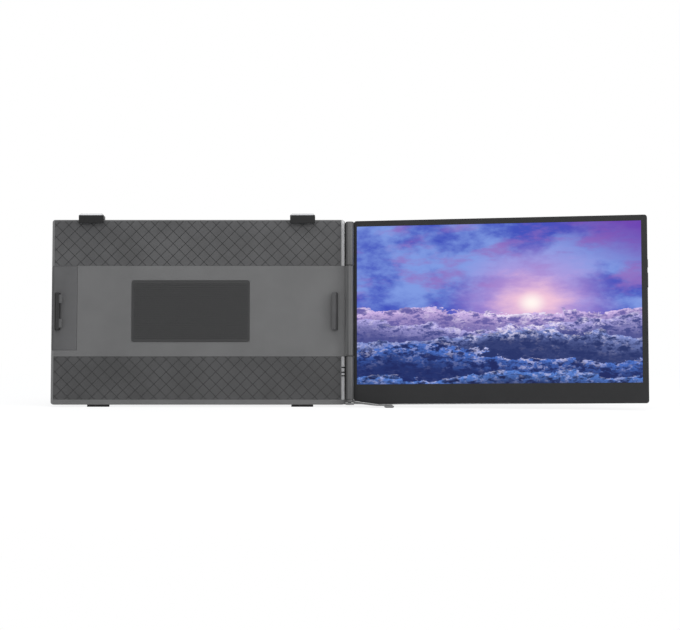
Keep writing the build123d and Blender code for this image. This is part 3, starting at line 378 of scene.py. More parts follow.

# %% [markdown]
# Four finishes change across their piece, and most of that change is painted light and shade. Each
# barrel has a painted highlight, a light line along its front. The left side of the two screen
# barrels is painted dark as shade, where they turn into the gap beside the holder, and that of the
# middle barrel is painted light. The back housing ends in a rim that shows under the bezel, with a
# painted reflection of the pale floor that makes it grey, and painted shade that makes it nearly
# black at the far end. The holder's tray is painted black as shade where its inner strip shows
# between the bevel and the barrels. The left clip has painted shade, darkest down its outer side,
# and painted light that makes its lips a little lighter.

# %% Finishes that change across a piece
SIDE_SHADING_END = (-3.8 * MM, -3.1 * MM)  # from the hinge's axis, as the line's two edges are
HIGHLIGHT_LEFT, HIGHLIGHT_RIGHT = (-1.3 * MM, -0.7 * MM), (0.1 * MM, 0.8 * MM)


def barrel_paint(name, place, level, side):
    """Satin paint on a barrel with a painted highlight; side is the grey of its painted left side."""
    look = Finish(name, place)
    across = look.axes()[0]
    wide = look.noise(*PAINT_DRIFT)
    colour = look.mix(look.smooth(wide, 0.3, 0.7), grey(level * 0.95), grey(level * 1.05))
    # The left side is painted: dark as shade on the screen's barrels, light on the middle barrel.
    colour = look.mix(look.smooth(across, *SIDE_SHADING_END, 1.0, 0.0), colour, grey(side))
    # A painted highlight: a light line along the barrel's front.
    line = look.math("MULTIPLY", look.smooth(across, *HIGHLIGHT_LEFT),
                     look.smooth(across, *HIGHLIGHT_RIGHT, 1.0, 0.0))
    colour = look.mix(look.math("MULTIPLY", line, 0.35), colour, grey(level * 1.35))
    return look.done(colour, look.smooth(wide, 0.3, 0.7, 0.4, 0.5), look.noise(*ORANGE_PEEL),
                     PAINT_RELIEF, Metallic=0.2, Specular_IOR_Level=0.35)


GRAIN, GRAIN_DEPTH = (1500, 2, 0.55), 0.00004
CUT_END, CUT_RUN, CUT_RISE = 29.9, 26, 4  # the screen's sloped bottom corner, in millimetres
RIM_HEIGHT, RIM_DEPTH = 0.9, 1.0  # millimetres
GREY_FROM, GREY_TO, BLACK_FROM, BLACK_TO = 8 * MM, 45 * MM, 120 * MM, 250 * MM


def rimmed_back():
    """Back housing whose bottom rim has a painted reflection of the floor, from grey by the hinge to nearly black.
    """
    front = span("monitor_rear_shell", SCREEN)[0].y
    look = Finish("screen_back_plastic", SCREEN)
    across, back, up = look.axes()
    wide, fine = look.noise(*HANDLING), look.noise(*GRAIN)
    plain = look.mix(look.smooth(wide, 0.3, 0.7), grey(90), grey(94))
    # Painted reflection of the pale floor on the rim, fading to painted shade, nearly black, at the far end.
    painted_reflection = look.mix(look.smooth(across, GREY_FROM, GREY_TO), grey(56), grey(150))
    painted_reflection = look.mix(look.smooth(across, BLACK_FROM, BLACK_TO), painted_reflection, grey(50))
    slope = look.math("MULTIPLY", look.math("SUBTRACT", CUT_END * MM, across),
                      CUT_RISE / CUT_RUN)
    under = look.math("SUBTRACT", up, look.math("MAXIMUM", slope, 0.0))
    rim = look.math("MULTIPLY", look.math("LESS_THAN", under, RIM_HEIGHT * MM),
                    look.math("LESS_THAN", back, (front + RIM_DEPTH) * MM))
    return look.done(look.mix(rim, plain, painted_reflection), look.smooth(wide, 0.25, 0.75, 0.47, 0.52),
                     fine, GRAIN_DEPTH, Specular_IOR_Level=0.42)


STRIP_IN, STRIP_BACK = 0.6, 1.5  # millimetres in from the face's edge, and behind it


def tray_back():
    """The tray's grained plastic; painted shade, black, on the strip behind the barrels."""
    face_high = span("base_front_frame", HOLDER)[1]
    look = Finish("holder_back_plastic", HOLDER)
    across, back = look.axes()[:2]
    wide, fine = look.noise(*HANDLING), look.noise(*GRAIN)
    plain = look.mix(look.smooth(wide, 0.3, 0.7), grey(76), grey(80))
    # Painted shade: the strip that shows between the bevel and the barrels is black.
    strip = look.math("MULTIPLY",
                      look.math("GREATER_THAN", across, (face_high.x - STRIP_IN) * MM),
                      look.math("LESS_THAN", back, (face_high.y + STRIP_BACK) * MM))
    return look.done(look.mix(strip, plain, grey(16)), look.smooth(wide, 0.25, 0.75, 0.53, 0.58),
                     fine, GRAIN_DEPTH, Specular_IOR_Level=0.42)


OUTER_SHADE_END, LIPS_LIGHT_START = (2.0, 2.6), (4.7, 6.6)  # millimetres from the clip's outer side


def clip_plastic():
    """Black plastic of the left clip, with painted shade down its outer side and painted light on its lips."""
    left = span("left_clip", HOLDER)[0].x
    look = Finish("left_clip_plastic", HOLDER)
    across = look.axes()[0]
    wide, fine = look.noise(*HANDLING), look.noise(2400, 2, 0.55)
    colour = look.mix(look.smooth(wide, 0.3, 0.7), grey(46), grey(50))
    # Painted light on the lips, and painted shade, nearly black, down the outer side.
    lips = look.smooth(across, *((left + x) * MM for x in LIPS_LIGHT_START))
    outer = look.smooth(across, *((left + x) * MM for x in OUTER_SHADE_END), 1.0, 0.0)
    colour = look.mix(outer, look.mix(lips, colour, grey(82)), grey(6))
    return look.done(colour, look.smooth(wide, 0.25, 0.75, 0.38, 0.48), fine, 0.000015,
                     Specular_IOR_Level=0.08)


screen_grey = rimmed_back()
back_grey = tray_back()
left_clip_black = clip_plastic()
hinge_paint = barrel_paint("hinge_paint", HOLDER, 76, 112)
knuckle_paint = barrel_paint("knuckle_paint", SCREEN, 76, 26)
print("finishes:", len(bpy.data.materials))

# %% [markdown]
# The measured pieces have knife-sharp edges. A real moulding or a stamped part has a small
# radius on every edge, and the thin bright line that it catches is what makes an edge readable.
# So each shown piece is copied, its loose triangles are welded and its flat faces joined again,
# and a small bevel goes on every edge that turns by more than a third of a right angle.

# %% Welded copies with softened edges
BROAD_FACE = 4e-5  # square metres; round such a face the shading breaks at BROAD_TURN
SHARP_TURN, BROAD_TURN, FLAT_TURN = 32, 2, 0.6  # degrees
WELD = 2e-6  # metres


def make_piece(bm, name, body, slot, looks, smooth=SHARP_TURN):
    """A finished bmesh as an object that rides on a body; broad faces stay flat."""
    bmesh.ops.delete(bm, geom=[e for e in bm.edges if not e.link_faces], context="EDGES")
    bmesh.ops.delete(bm, geom=[v for v in bm.verts if not v.link_faces], context="VERTS")
    for edge in bm.edges:
        if len(edge.link_faces) == 2:
            bend = edge.calc_face_angle(0)
            broad = max(f.calc_area() for f in edge.link_faces) > BROAD_FACE
            edge.smooth = bend < math.radians(BROAD_TURN if broad else smooth)
    for face in bm.faces:
        face.smooth = True
    mesh = bpy.data.meshes.new(name)
    bm.to_mesh(mesh)
    bm.free()
    for look in looks:
        mesh.materials.append(look)
    piece = bpy.data.objects.new(name, mesh)
    scene.collection.objects.link(piece)
    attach(piece, body)
    return piece


def welded(node):
    """The node's mesh with its triangles joined to flat faces."""
    bm = bmesh.new()
    bm.from_mesh(nodes[node].data)
    bmesh.ops.remove_doubles(bm, verts=bm.verts, dist=WELD)
    bmesh.ops.dissolve_limit(bm, angle_limit=math.radians(FLAT_TURN), verts=bm.verts,
                             edges=bm.edges)
    return bm


def round_edges(bm, edges, width):
    """A small round on the given edges."""
    bmesh.ops.bevel(bm, geom=edges, offset=width, offset_type="OFFSET", segments=3,
                    profile=0.5, affect="EDGES", clamp_overlap=True, material=-1)


def soften(bm, width):
    """A small round on every sharp edge."""
    limit = math.radians(SHARP_TURN)
    sharp = [e for e in bm.edges if len(e.link_faces) == 2 and e.calc_face_angle(0) > limit]
    round_edges(bm, sharp, width)
    bmesh.ops.recalc_face_normals(bm, faces=bm.faces)


slot_of = {s["node"]: s["material_slot"] for s in frame["record"]["subparts"]}
body_of = {node: body for body, members in frame["record"]["behaviour"]["bodies"].items()
           for node in members}


def softened(node, look, width):
    """A welded and softened copy that stands for a measured piece."""
    bm = welded(node)
    soften(bm, width)
    piece = make_piece(bm, node + "_soft", body_of[node], slot_of[node], [look])
    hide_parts(node)
    return piece


for node, look, width in (
        ("left_slide_arm", arm_grey, 0.00022),
        ("right_clip", clip_black, 0.0002), ("left_clip", left_clip_black, 0.0002),
        ("screen_bezel", bezel_black, 0.00012),
        ("hinge_spine", hinge_paint, 0.0002), ("leg_bracket", bracket_paint, 0.00015),
        ("upper_knuckle", knuckle_paint, 0.0002), ("lower_knuckle", knuckle_paint, 0.0002),
        ("hinge_caps", button_black, 0.00015), ("power_button", button_black, 0.00012),
        ("menu_rocker", button_black, 0.00012), ("leg_arm", leg_paint, 0.0002),
        ("leg_foot", leg_paint, 0.00025), ("right_clip_pad", rubber, 0.00012),
        ("left_clip_pad", rubber, 0.00012), ("base_feet", desk_rubber, 0.0002),
        ("foot_pads", desk_rubber, 0.00012), ("leg_pin", leg_paint, 0.00012),
        ("foot_pin", leg_paint, 0.0001), ("edge_bumper", rubber, 0.0001)):
    softened(node, look, width)

# %% [markdown]
# The hooks are nearly black, but their sloped tops face the light and look much paler. That paler
# look is a painted highlight: a separate finish goes on the broad faces that look up and forwards:
# each face of a mesh keeps the number of its finish, so no second piece is needed.

# %% Top hooks with painted highlights on their slopes
HOOK_ROUND = 0.0003
SLOPED, SLOPE_AREA = 0.3, 1e-5

for node in ("left_top_hook", "right_top_hook"):
    hook = softened(node, hook_black, HOOK_ROUND)
    hook.data.materials.append(hook_slope_highlight)
    slopes = [f for f in hook.data.polygons if f.area > SLOPE_AREA
              and f.normal.z > SLOPED and f.normal.y < -SLOPED]
    for face in slopes:
        face.material_index = 1
    print(node, "slopes", len(slopes))

# %% [markdown]
# The finer forms are cut and drawn in millimetres in the piece's own frame, and then placed. A few
# steps come back in all of them: to go into that frame and out of it, to cut faces along a plane,
# and to push faces in, which leaves a wall all round. Each is a short function here.

# %% Steps for cutting and pushing
VERT, FACE = bmesh.types.BMVert, bmesh.types.BMFace
STRAIGHT = 0.99  # a normal's least share along an axis that its face looks along


def own_frame(bm, place):
    """From the room, in metres, to the piece's own upright frame, in millimetres."""
    bmesh.ops.transform(bm, matrix=place.inverted(), verts=bm.verts)
    bmesh.ops.scale(bm, vec=(1 / MM,) * 3, verts=bm.verts)


def into_room(bm, place):
    """From the piece's own frame, in millimetres, to the room, in metres."""
    bmesh.ops.scale(bm, vec=(MM,) * 3, verts=bm.verts)
    bmesh.ops.transform(bm, matrix=place, verts=bm.verts)


def made(result, kind):
    """The vertices or the faces that an operator made."""
    return [g for g in result["geom"] if isinstance(g, kind)]


def cut(bm, faces, point, normal, dist=1e-4):
    """Cuts some faces, and no others, along a plane."""
    geom = dict.fromkeys(g for f in faces for g in (f, *f.edges, *f.verts))
    bmesh.ops.bisect_plane(bm, geom=list(geom), dist=dist, plane_co=point, plane_no=normal)


def push(bm, faces, move):
    """Moves faces along a vector and walls in the step; gives the moved faces."""
    grown = bmesh.ops.extrude_face_region(bm, geom=faces)
    bmesh.ops.delete(bm, geom=[f for f in faces if f.is_valid], context="FACES_ONLY")
    bmesh.ops.translate(bm, vec=move, verts=made(grown, VERT))
    return made(grown, FACE)


# %% [markdown]
# Both backs have a fine seam a few millimetres in from the edge, where the skin is let into the
# housing. Eight planes cut its outline into the large flat face, and the strip is pushed in.
# Nothing of the backs shows in the photo, so this is kept as plain as such housings are.

# %% Seams on the backs
SEAM_INSET, SEAM_WIDTH, SEAM_DEPTH = 5.5, 0.6, 0.3
NEAR_BACK = 0.05  # millimetres


def seamed(node, look, width, place):
    """A softened copy with a sunk seam round its back face."""
    low, high = span(node, place)
    bm = welded(node)
    soften(bm, width)
    own_frame(bm, place)

    def back_faces():
        return [f for f in bm.faces if f.normal.y > STRAIGHT
                and f.calc_center_bounds().y > high.y - NEAR_BACK]

    def within(face, inset):
        spot = face.calc_center_bounds()
        return all(low[i] + inset < spot[i] < high[i] - inset for i in (0, 2))

    for i, axis in ((0, (1, 0, 0)), (2, (0, 0, 1))):
        first, last = low[i] + SEAM_INSET, high[i] - SEAM_INSET
        for offset in (first, first + SEAM_WIDTH, last - SEAM_WIDTH, last):
            cut(bm, back_faces(), Vector(axis) * offset, axis)
    strip = [f for f in back_faces()
             if within(f, SEAM_INSET) and not within(f, SEAM_INSET + SEAM_WIDTH)]
    push(bm, strip, (0, -SEAM_DEPTH, 0))
    bmesh.ops.recalc_face_normals(bm, faces=bm.faces)
    into_room(bm, place)
    piece = make_piece(bm, node + "_soft", body_of[node], slot_of[node], [look])
    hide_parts(node)
    print(node, "seam faces", len(strip))


seamed("base_rear_shell", back_grey, 0.00025, HOLDER)
seamed("monitor_rear_shell", screen_grey, 0.00018, SCREEN)

# %% [markdown]
# Some measured pieces are sets of small solids, such as all the screws of one back. Their places
# are found by walking from vertex to vertex along the edges until a solid is complete, so that
# the looks follow the model if a screw moves.

# %% Islands of a measured piece
def islands(node, place):
    """Lowest and highest corner of each separate solid of a node, in its own frame, in mm."""
    bm = welded(node)
    bmesh.ops.transform(bm, matrix=place.inverted(), verts=bm.verts)
    left, found = set(bm.verts), []
    while left:
        group, waiting = [], [left.pop()]
        while waiting:
            vert = waiting.pop()
            group.append(vert.co / MM)
            for other in (e.other_vert(vert) for e in vert.link_edges):
                if other in left:
                    left.remove(other)
                    waiting.append(other)
        low = Vector([min(p[i] for p in group) for i in range(3)])
        found.append((low, Vector([max(p[i] for p in group) for i in range(3)])))
    bm.free()
    return sorted(found, key=lambda pair: (round(pair[0].x, 1), round(pair[0].z, 1)))


# %% [markdown]
# The leg is stamped from sheet steel. Its back edge is folded up, with a short tooth at the hinge,
# which stiffens it and closes the gap under the screen's sloped corner; the fold stays below the
# cone that the corner sweeps. A cup covers the rivet under the hub, and thin black washers part
# the barrels; they also fill the gaps between the barrels with black, as painted shade. A small web
# joins the bracket to the holder's rounded bottom corner, so that the rail seems to run on to the
# hub. Round pieces are spun from an outline, and flat ones drawn out.

# %% Folded edge of the leg, web, hub cup and washers
def turned(name, outline, place, body, slot, look):
    """A ring from an outline of (radius, height) in millimetres, spun about the upright axis."""
    bm = bmesh.new()
    verts = [bm.verts.new((r, 0, z)) for r, z in outline]
    edges = [bm.edges.new((verts[i - 1], verts[i])) for i in range(len(verts))]
    bmesh.ops.spin(bm, geom=verts + edges, cent=(0, 0, 0), axis=(0, 0, 1), angle=math.tau,
                   steps=48, use_merge=True)
    bmesh.ops.recalc_face_normals(bm, faces=bm.faces)
    into_room(bm, place)
    make_piece(bm, name, body, slot, [look])


def drawn_out(outline, along, width, place):
    """A flat outline in millimetres, drawn out along a vector and softened."""
    bm = bmesh.new()
    face = bm.faces.new([bm.verts.new(corner) for corner in outline])
    grown = bmesh.ops.extrude_face_region(bm, geom=[face], use_keep_orig=True)
    bmesh.ops.translate(bm, vec=along, verts=made(grown, VERT))
    bmesh.ops.recalc_face_normals(bm, faces=bm.faces)
    soften(bm, width)
    into_room(bm, place)
    return bm


leg_at = Vector(joints["leg_swing"]["pos_m"])
reach = Vector(joints["foot_turn"]["pos_m"]) - leg_at
LEG = (Matrix.Translation((leg_at.x, leg_at.y, 0))
       @ Matrix.Rotation(math.atan2(reach.y, reach.x), 4, "Z"))
arm_high = span("leg_arm", LEG)[1]
top = arm_high.z

# Along the leg and up, in millimetres; the last five corners are the tooth's.
FOLD = [(3.9, top - 0.2), (14.0, top - 0.2), (28.4, 2.75), (28.4, 3.05), (6.4, top + 1.7),
        (5.9, top + 1.8), (5.4, top + 2.1), (4.7, top + 2.6), (3.9, top + 3.1)]
FOLD_FRONT, FOLD_BACK, FOLD_ROUND = arm_high.y - 1.1, arm_high.y - 0.1, 0.2
bm = drawn_out([(x, FOLD_FRONT, z) for x, z in FOLD], (0, FOLD_BACK - FOLD_FRONT, 0),
               FOLD_ROUND, LEG)
make_piece(bm, "leg_folded_edge", "leg", slot_of["leg_arm"], [leg_paint])

# Across and up from the hinge, in millimetres.
WEB = [(-9.5, 0.15), (-4.4, 0.15), (-4.4, 2.6), (-5.4, 3.4), (-9.5, 3.4)]
WEB_FRONT, WEB_DEPTH, WEB_ROUND = 4.7, 2.5, 0.25
bm = drawn_out([(x, WEB_FRONT, z) for x, z in WEB], (0, WEB_DEPTH, 0), WEB_ROUND, HOLDER)
make_piece(bm, "bracket_web", "holder", slot_of["leg_bracket"], [leg_paint])

CUP_R, CUP_LOW, CUP_TOP, CUP_ROUND = 4.85, 2.62, 4.40, 0.25
CUP_HOLE, CUP_SEAT, CUP_SHELF = 2.9, 3.9, 3.42
turned("leg_hub_cup", [(CUP_HOLE, CUP_LOW), (CUP_R - CUP_ROUND, CUP_LOW),
                       (CUP_R, CUP_LOW + CUP_ROUND), (CUP_R, CUP_TOP), (CUP_SEAT, CUP_TOP),
                       (CUP_SEAT, CUP_SHELF), (CUP_HOLE, CUP_SHELF)],
       LEG, "leg", slot_of["leg_arm"], leg_paint)

WASHER_R, WASHER_BORE_PLAY, WASHER_END_PLAY = 4.2, 0.1, 0.04
bore = span("lower_hinge_shaft", HOLDER)[1].x + WASHER_BORE_PLAY
spine_low, spine_high = span("hinge_spine", HOLDER)
lower_low, lower_high = span("lower_knuckle", SCREEN)
upper_low = span("upper_knuckle", SCREEN)[0]
gap = spine_low.z - lower_high.z
# Black washers: real parts between the barrels, and a dark that stands in for the shade in the gaps.
for name, bottom, above in (("washer_lug", lower_low.z - gap / 2, lower_low.z),
                            ("washer_middle", lower_high.z, spine_low.z),
                            ("washer_upper", spine_high.z, upper_low.z)):
    print(name, "gap", round(above - bottom, 2), "bore", round(bore, 2))
    under, over = bottom + WASHER_END_PLAY, above - WASHER_END_PLAY
    turned(name, [(bore, under), (WASHER_R, under), (WASHER_R, over), (bore, over)],
           HOLDER, "holder", slot_of["lower_friction_sleeve"], rubber)

# %% [markdown]
# A rubber lip runs up the back of the middle barrel and closes most of the gap to the screen's
# edge, so no light shows through from behind. It stays inside the circle that the screen's
# corner draws round the hinge.

# %% Lip on the middle barrel
LIP_CORNERS = [(4.1, 39.0), (5.6, 41.5), (5.6, 46.5), (4.1, 49.0)]  # radius and degrees
LIP_PAST, LIP_ROUND = 0.4, 0.12  # past both ends of the barrel, and the softened edge


def round_point(radius, degrees):
    """A point at a radius and an angle round the hinge, level with the lip's lower end."""
    angle = math.radians(degrees)
    return (radius * math.cos(angle), radius * math.sin(angle), spine_low.z - LIP_PAST)


bm = drawn_out([round_point(*corner) for corner in LIP_CORNERS],
               (0, 0, spine_high.z - spine_low.z + 2 * LIP_PAST), LIP_ROUND, HOLDER)
make_piece(bm, "spine_lip", "holder", slot_of["hinge_spine"], [rubber])
print("lip reaches", LIP_CORNERS[1][0], "mm from the hinge's axis")

# %% [markdown]
# The front frame has two finishes on one moulding: a plain grained face, and bright cut bevels
# down both sides. The bevel is picked out by where it lies in the holder's own frame, which is
# how a machinist would name it too: past a given line from the edge, and behind the flat front.

# %% Front frame with bright bevels
LEFT_BEVEL, RIGHT_BEVEL = 2.65, 4.35  # widths in millimetres
# Painted light and shade on the right bevel: it is painted paler outwards, and its very edge black.
PAINTED_LIGHT_FROM, PAINTED_LIGHT_TO = 4.2, 2.2  # from the right edge: the bevel turns paler outwards,
EDGE_SHADE_FROM, EDGE_SHADE_TO = 0.7, 0.4  # and its very edge is black
BEHIND_FACE, SPINE_ROOM = 0.02, 0.5
CUT_LINES = (900, 900, 25)
face_low, face_high = span("base_front_frame", HOLDER)


def bevelled_face():
    """Grained plastic whose side bevels are cut bright; the right bevel also gets painted light and shade."""
    look = Finish("front_frame_plastic", HOLDER)
    across, back, up = look.axes()
    wide, fine = look.noise(*HANDLING), look.noise(1800, 2, 0.55)
    lines = look.noise(1.0, 3, 0.6, CUT_LINES)

    def from_right(inward):
        return (face_high.x - inward) * MM

    right = look.math("GREATER_THAN", across, from_right(RIGHT_BEVEL))
    left = look.math("LESS_THAN", across, (face_low.x + LEFT_BEVEL) * MM)
    behind = look.math("GREATER_THAN", back, (face_low.y + BEHIND_FACE) * MM)
    below = look.math("LESS_THAN", up, (spine_low.z - SPINE_ROOM) * MM)
    above = look.math("GREATER_THAN", up, (spine_high.z + SPINE_ROOM) * MM)
    right = look.math("MULTIPLY", look.math("MULTIPLY", right, behind),
                      look.math("MAXIMUM", below, above))
    left = look.math("MULTIPLY", left, behind)
    plain = look.mix(look.smooth(wide, 0.3, 0.7), grey(82), grey(88))
    left_cut = look.mix(lines, grey(96), grey(110))
    right_cut = look.mix(lines, grey(122), grey(134))
    # Painted light towards the right edge, then painted shade, black, on the very edge.
    right_cut = look.mix(look.smooth(across, from_right(PAINTED_LIGHT_FROM), from_right(PAINTED_LIGHT_TO)),
                         right_cut, grey(188))
    right_cut = look.mix(look.smooth(across, from_right(EDGE_SHADE_FROM),
                                     from_right(EDGE_SHADE_TO)), right_cut, grey(30))
    bevels = look.math("MAXIMUM", right, left)
    rough = look.math("SUBTRACT", look.smooth(wide, 0.25, 0.75, 0.42, 0.52),
                      look.math("MULTIPLY", bevels, 0.14))
    grain = look.math("MULTIPLY", fine, look.math("SUBTRACT", 1.0, bevels))
    return look.done(look.mix(right, look.mix(left, plain, left_cut), right_cut), rough,
                     grain, 0.00003, Specular_IOR_Level=0.42)


softened("base_front_frame", bevelled_face(), 0.0002)
print("front frame", tuple(round(c, 1) for c in face_high - face_low))

# %% [markdown]
# Two inlaid panels carry a lattice of fine sunk lines. The plate is cut along both diagonals by
# pairs of parallel planes, one pair for each line, which leaves a net of narrow strips. Those
# strips are then pushed in. A drawn texture would be cheaper, but these lines must catch real
# shadow when the holder is seen from the side. Their floors also get a darker finish, a painted
# shade, and the lower panel is painted darker than the upper one, as shade.

# %% Lattice panels
LINE_PITCH, LINE_WIDTH, LINE_DEPTH = 9.6, 0.6, 0.35

upper_plain = moulded("upper_lattice_plastic", HOLDER, 62, 0.5, 1300, 0.00004, drift=0.1)
# The lower panel is painted darker than the upper one, as shade.
lower_shaded_plain = moulded("lower_lattice_shaded_plastic", HOLDER, 53, 0.5, 1300, 0.00004, drift=0.1)
# Painted shade for the floors of the sunk lines.
groove_shade = moulded("groove_painted_shade", HOLDER, 36, 0.7)


def lattice_panel(node, look):
    """The inlaid plate with its net of sunk lines."""
    low, high = span(node, HOLDER)
    size, middle = high - low, (high + low) / 2
    bm = bmesh.new()
    bmesh.ops.create_cube(bm, size=1.0)
    bmesh.ops.scale(bm, vec=size, verts=bm.verts)
    bmesh.ops.translate(bm, vec=middle, verts=bm.verts)
    reach = int((size.x + size.z) / 2 ** 0.5 / 2 / LINE_PITCH) + 1
    lines = []
    for slope in (1, -1):
        normal = Vector((slope, 0, 1)).normalized()
        for i in range(-reach, reach + 1):
            centre = middle + normal * (i * LINE_PITCH)
            lines.append((centre, normal))
            for side in (-1, 1):
                cut(bm, bm.faces, centre + normal * side * LINE_WIDTH / 2, normal)
    sunk = []
    for face in bm.faces:
        spot = face.calc_center_median()
        if face.normal.y < -STRAIGHT and any(abs((spot - c).dot(n)) < LINE_WIDTH / 2
                                             for c, n in lines):
            sunk.append(face)
    for face in push(bm, sunk, (0, LINE_DEPTH, 0)):
        face.material_index = 1
    bmesh.ops.recalc_face_normals(bm, faces=bm.faces)
    into_room(bm, HOLDER)
    print(node, "lines", len(lines), "faces", len(bm.faces))
    piece = make_piece(bm, node + "_lattice", "holder", slot_of[node], [look, groove_shade],
                       smooth=20)
    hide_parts(node)


lattice_panel("upper_texture_panel", upper_plain)
lattice_panel("lower_texture_panel", lower_shaded_plain)

# %% [markdown]
# The picture on the screen is a made-up one: a cloudy evening sky, a low sun right of the middle
# and banks of rough water. It is worked out from noise, sines and gradients in the screen's own
# frame, so it stays on the glass when the screen turns. The cell itself is black, and the picture
# is its own light.

# %% Picture on the display
MARGIN_LEFT, MARGIN_BELOW = 1.2, 8.4  # the cell's black border
cell_low = span("lcd_panel", SCREEN)[0]
PICTURE_LOW = Vector((cell_low.x + MARGIN_LEFT, 0, cell_low.z + MARGIN_BELOW)) * MM
PICTURE_SIZE = Vector((309.4, 0, 174.0)) * MM


def picture():
    """Display cell with a made-up sea under a violet evening sky."""
    look = Finish("display_picture", SCREEN)
    across, _, up = look.axes()
    u = look.math("DIVIDE", look.math("SUBTRACT", across, PICTURE_LOW.x), PICTURE_SIZE.x)
    v = look.math("DIVIDE", look.math("SUBTRACT", up, PICTURE_LOW.z), PICTURE_SIZE.z)
    cloud = look.noise(9, 6, 0.62, (1, 1, 1.9))
    veil = look.noise(17, 8, 0.62, (0.8, 1, 2.4))
    water = look.noise(42, 9, 0.70, (1, 1, 2.0))
    spray = look.noise(120, 6, 0.65, (1, 1, 1.7))
    ridge = look.math("SUBTRACT", 1.0, look.math("ABSOLUTE", look.math("MULTIPLY_ADD", water,
                                                                      2.0, -1.0)))
    # Sky: two blues, pink banks of cloud, a purple corner.
    colour = look.mix(look.smooth(cloud, 0.40, 0.60), (0.04, 0.07, 0.49, 1),
                      (0.20, 0.31, 0.75, 1))
    bank = look.math("MULTIPLY", look.smooth(veil, 0.46, 0.66), look.smooth(v, 0.44, 0.62))
    colour = look.mix(look.math("MULTIPLY", bank, 0.8), colour, (0.28, 0.14, 0.50, 1))
    corner = look.math("ADD", look.math("MULTIPLY", u, 0.75), v)
    corner = look.math("MULTIPLY_ADD", cloud, 0.5, corner)
    colour = look.mix(look.smooth(corner, 1.62, 1.98, 0.0, 0.85), colour, (0.15, 0.03, 0.40, 1))
    # Sun behind the clouds.
    du = look.math("MULTIPLY", look.math("SUBTRACT", u, 0.62), 1.35)
    dv = look.math("SUBTRACT", v, 0.50)
    away = look.math("SQRT", look.math("ADD", look.math("MULTIPLY", du, du),
                                       look.math("MULTIPLY", dv, dv)))
    torn = look.math("ADD", away, look.math("MULTIPLY", look.math("SUBTRACT", veil, 0.5), 0.34))
    colour = look.mix(look.smooth(torn, 0.10, 0.44, 0.80, 0.0), colour, (0.50, 0.31, 0.70, 1))
    colour = look.mix(look.smooth(torn, 0.02, 0.23, 0.92, 0.0), colour, (0.92, 0.58, 0.70, 1))
    colour = look.mix(look.smooth(away, 0.0, 0.085, 1.0, 0.0), colour, (1.0, 0.92, 0.88, 1))
    glint = look.smooth(away, 0.08, 0.55, 1.0, 0.34)
    # Banks of water from far to near: a wavy line, a dark body, bright torn crests. The numbers
    # are the line's height, swing, pace and start, its tear, and the body's and crests' colours.
    banks = [(0.455, 0.020, 7.0, 0.4, 0.16, (0.12, 0.10, 0.36), (0.62, 0.46, 0.80)),
             (0.385, 0.030, 5.1, 2.2, 0.18, (0.045, 0.055, 0.24), (0.42, 0.38, 0.76)),
             (0.300, 0.045, 6.3, 4.0, 0.20, (0.008, 0.022, 0.13), (0.22, 0.28, 0.64)),
             (0.180, 0.050, 4.4, 0.9, 0.18, (0.002, 0.012, 0.11), (0.06, 0.16, 0.58)),
             (0.060, 0.030, 8.2, 3.1, 0.14, (0.002, 0.008, 0.07), (0.08, 0.20, 0.62))]
    for base, swing, pace, start, tear, body, crest in banks:
        sine = look.math("SINE", look.math("MULTIPLY_ADD", u, pace, start))
        line = look.math("MULTIPLY_ADD", sine, swing, base)
        line = look.math("ADD", line, look.math("MULTIPLY", look.math("SUBTRACT", veil, 0.5),
                                                tear * 1.3))
        line = look.math("ADD", line, look.math("MULTIPLY", look.math("SUBTRACT", water, 0.5),
                                                tear * 0.9))
        depth = look.math("SUBTRACT", line, v)
        inside = look.smooth(depth, -0.001, 0.003)
        slope = look.smooth(depth, 0.0, 0.12, 0.85, 0.06)
        light = look.math("MULTIPLY", look.smooth(ridge, 0.80, 1.0), slope)
        light = look.math("ADD", light, look.smooth(depth, 0.0, 0.035, 0.25, 0.0), clamp=True)
        shade = look.mix(light, (*body, 1), (*crest, 1))
        foam = look.math("MULTIPLY", look.smooth(depth, 0.0, 0.028, 1.0, 0.0),
                         look.smooth(spray, 0.44, 0.60))
        fleck = look.math("MULTIPLY", look.smooth(ridge, 0.88, 0.98), look.smooth(spray, 0.5, 0.6))
        foam = look.math("ADD", foam, look.math("MULTIPLY", fleck, slope), clamp=True)
        foam = look.math("MULTIPLY", foam, glint)
        shade = look.mix(look.math("MULTIPLY", foam, 0.85), shade, (0.88, 0.80, 0.95, 1))
        colour = look.mix(inside, colour, shade)
    return look.done((0.004, 0.004, 0.005, 1), look.smooth(cloud, 0.2, 0.8, 0.30, 0.36),
                     Emission_Color=colour, Emission_Strength=1.0, Specular_IOR_Level=0.12)


def dress(node, look):
    """A measured piece keeps its shape and gets a finish."""
    materials = nodes[node].data.materials
    materials.clear()
    materials.append(look)


dress("lcd_panel", picture())
print("picture", tuple(round(c, 4) for c in PICTURE_SIZE))

# %% [markdown]
# The rest of the measured pieces are hidden inside or too small to need new geometry, but each
# still gets the finish of the real thing, because the housing may be opened. The boards are green
# lacquer over tracks, which stretched noise draws well enough. The sockets are plated, and their
# contacts are too fine to model, so they are counted off by where they lie.

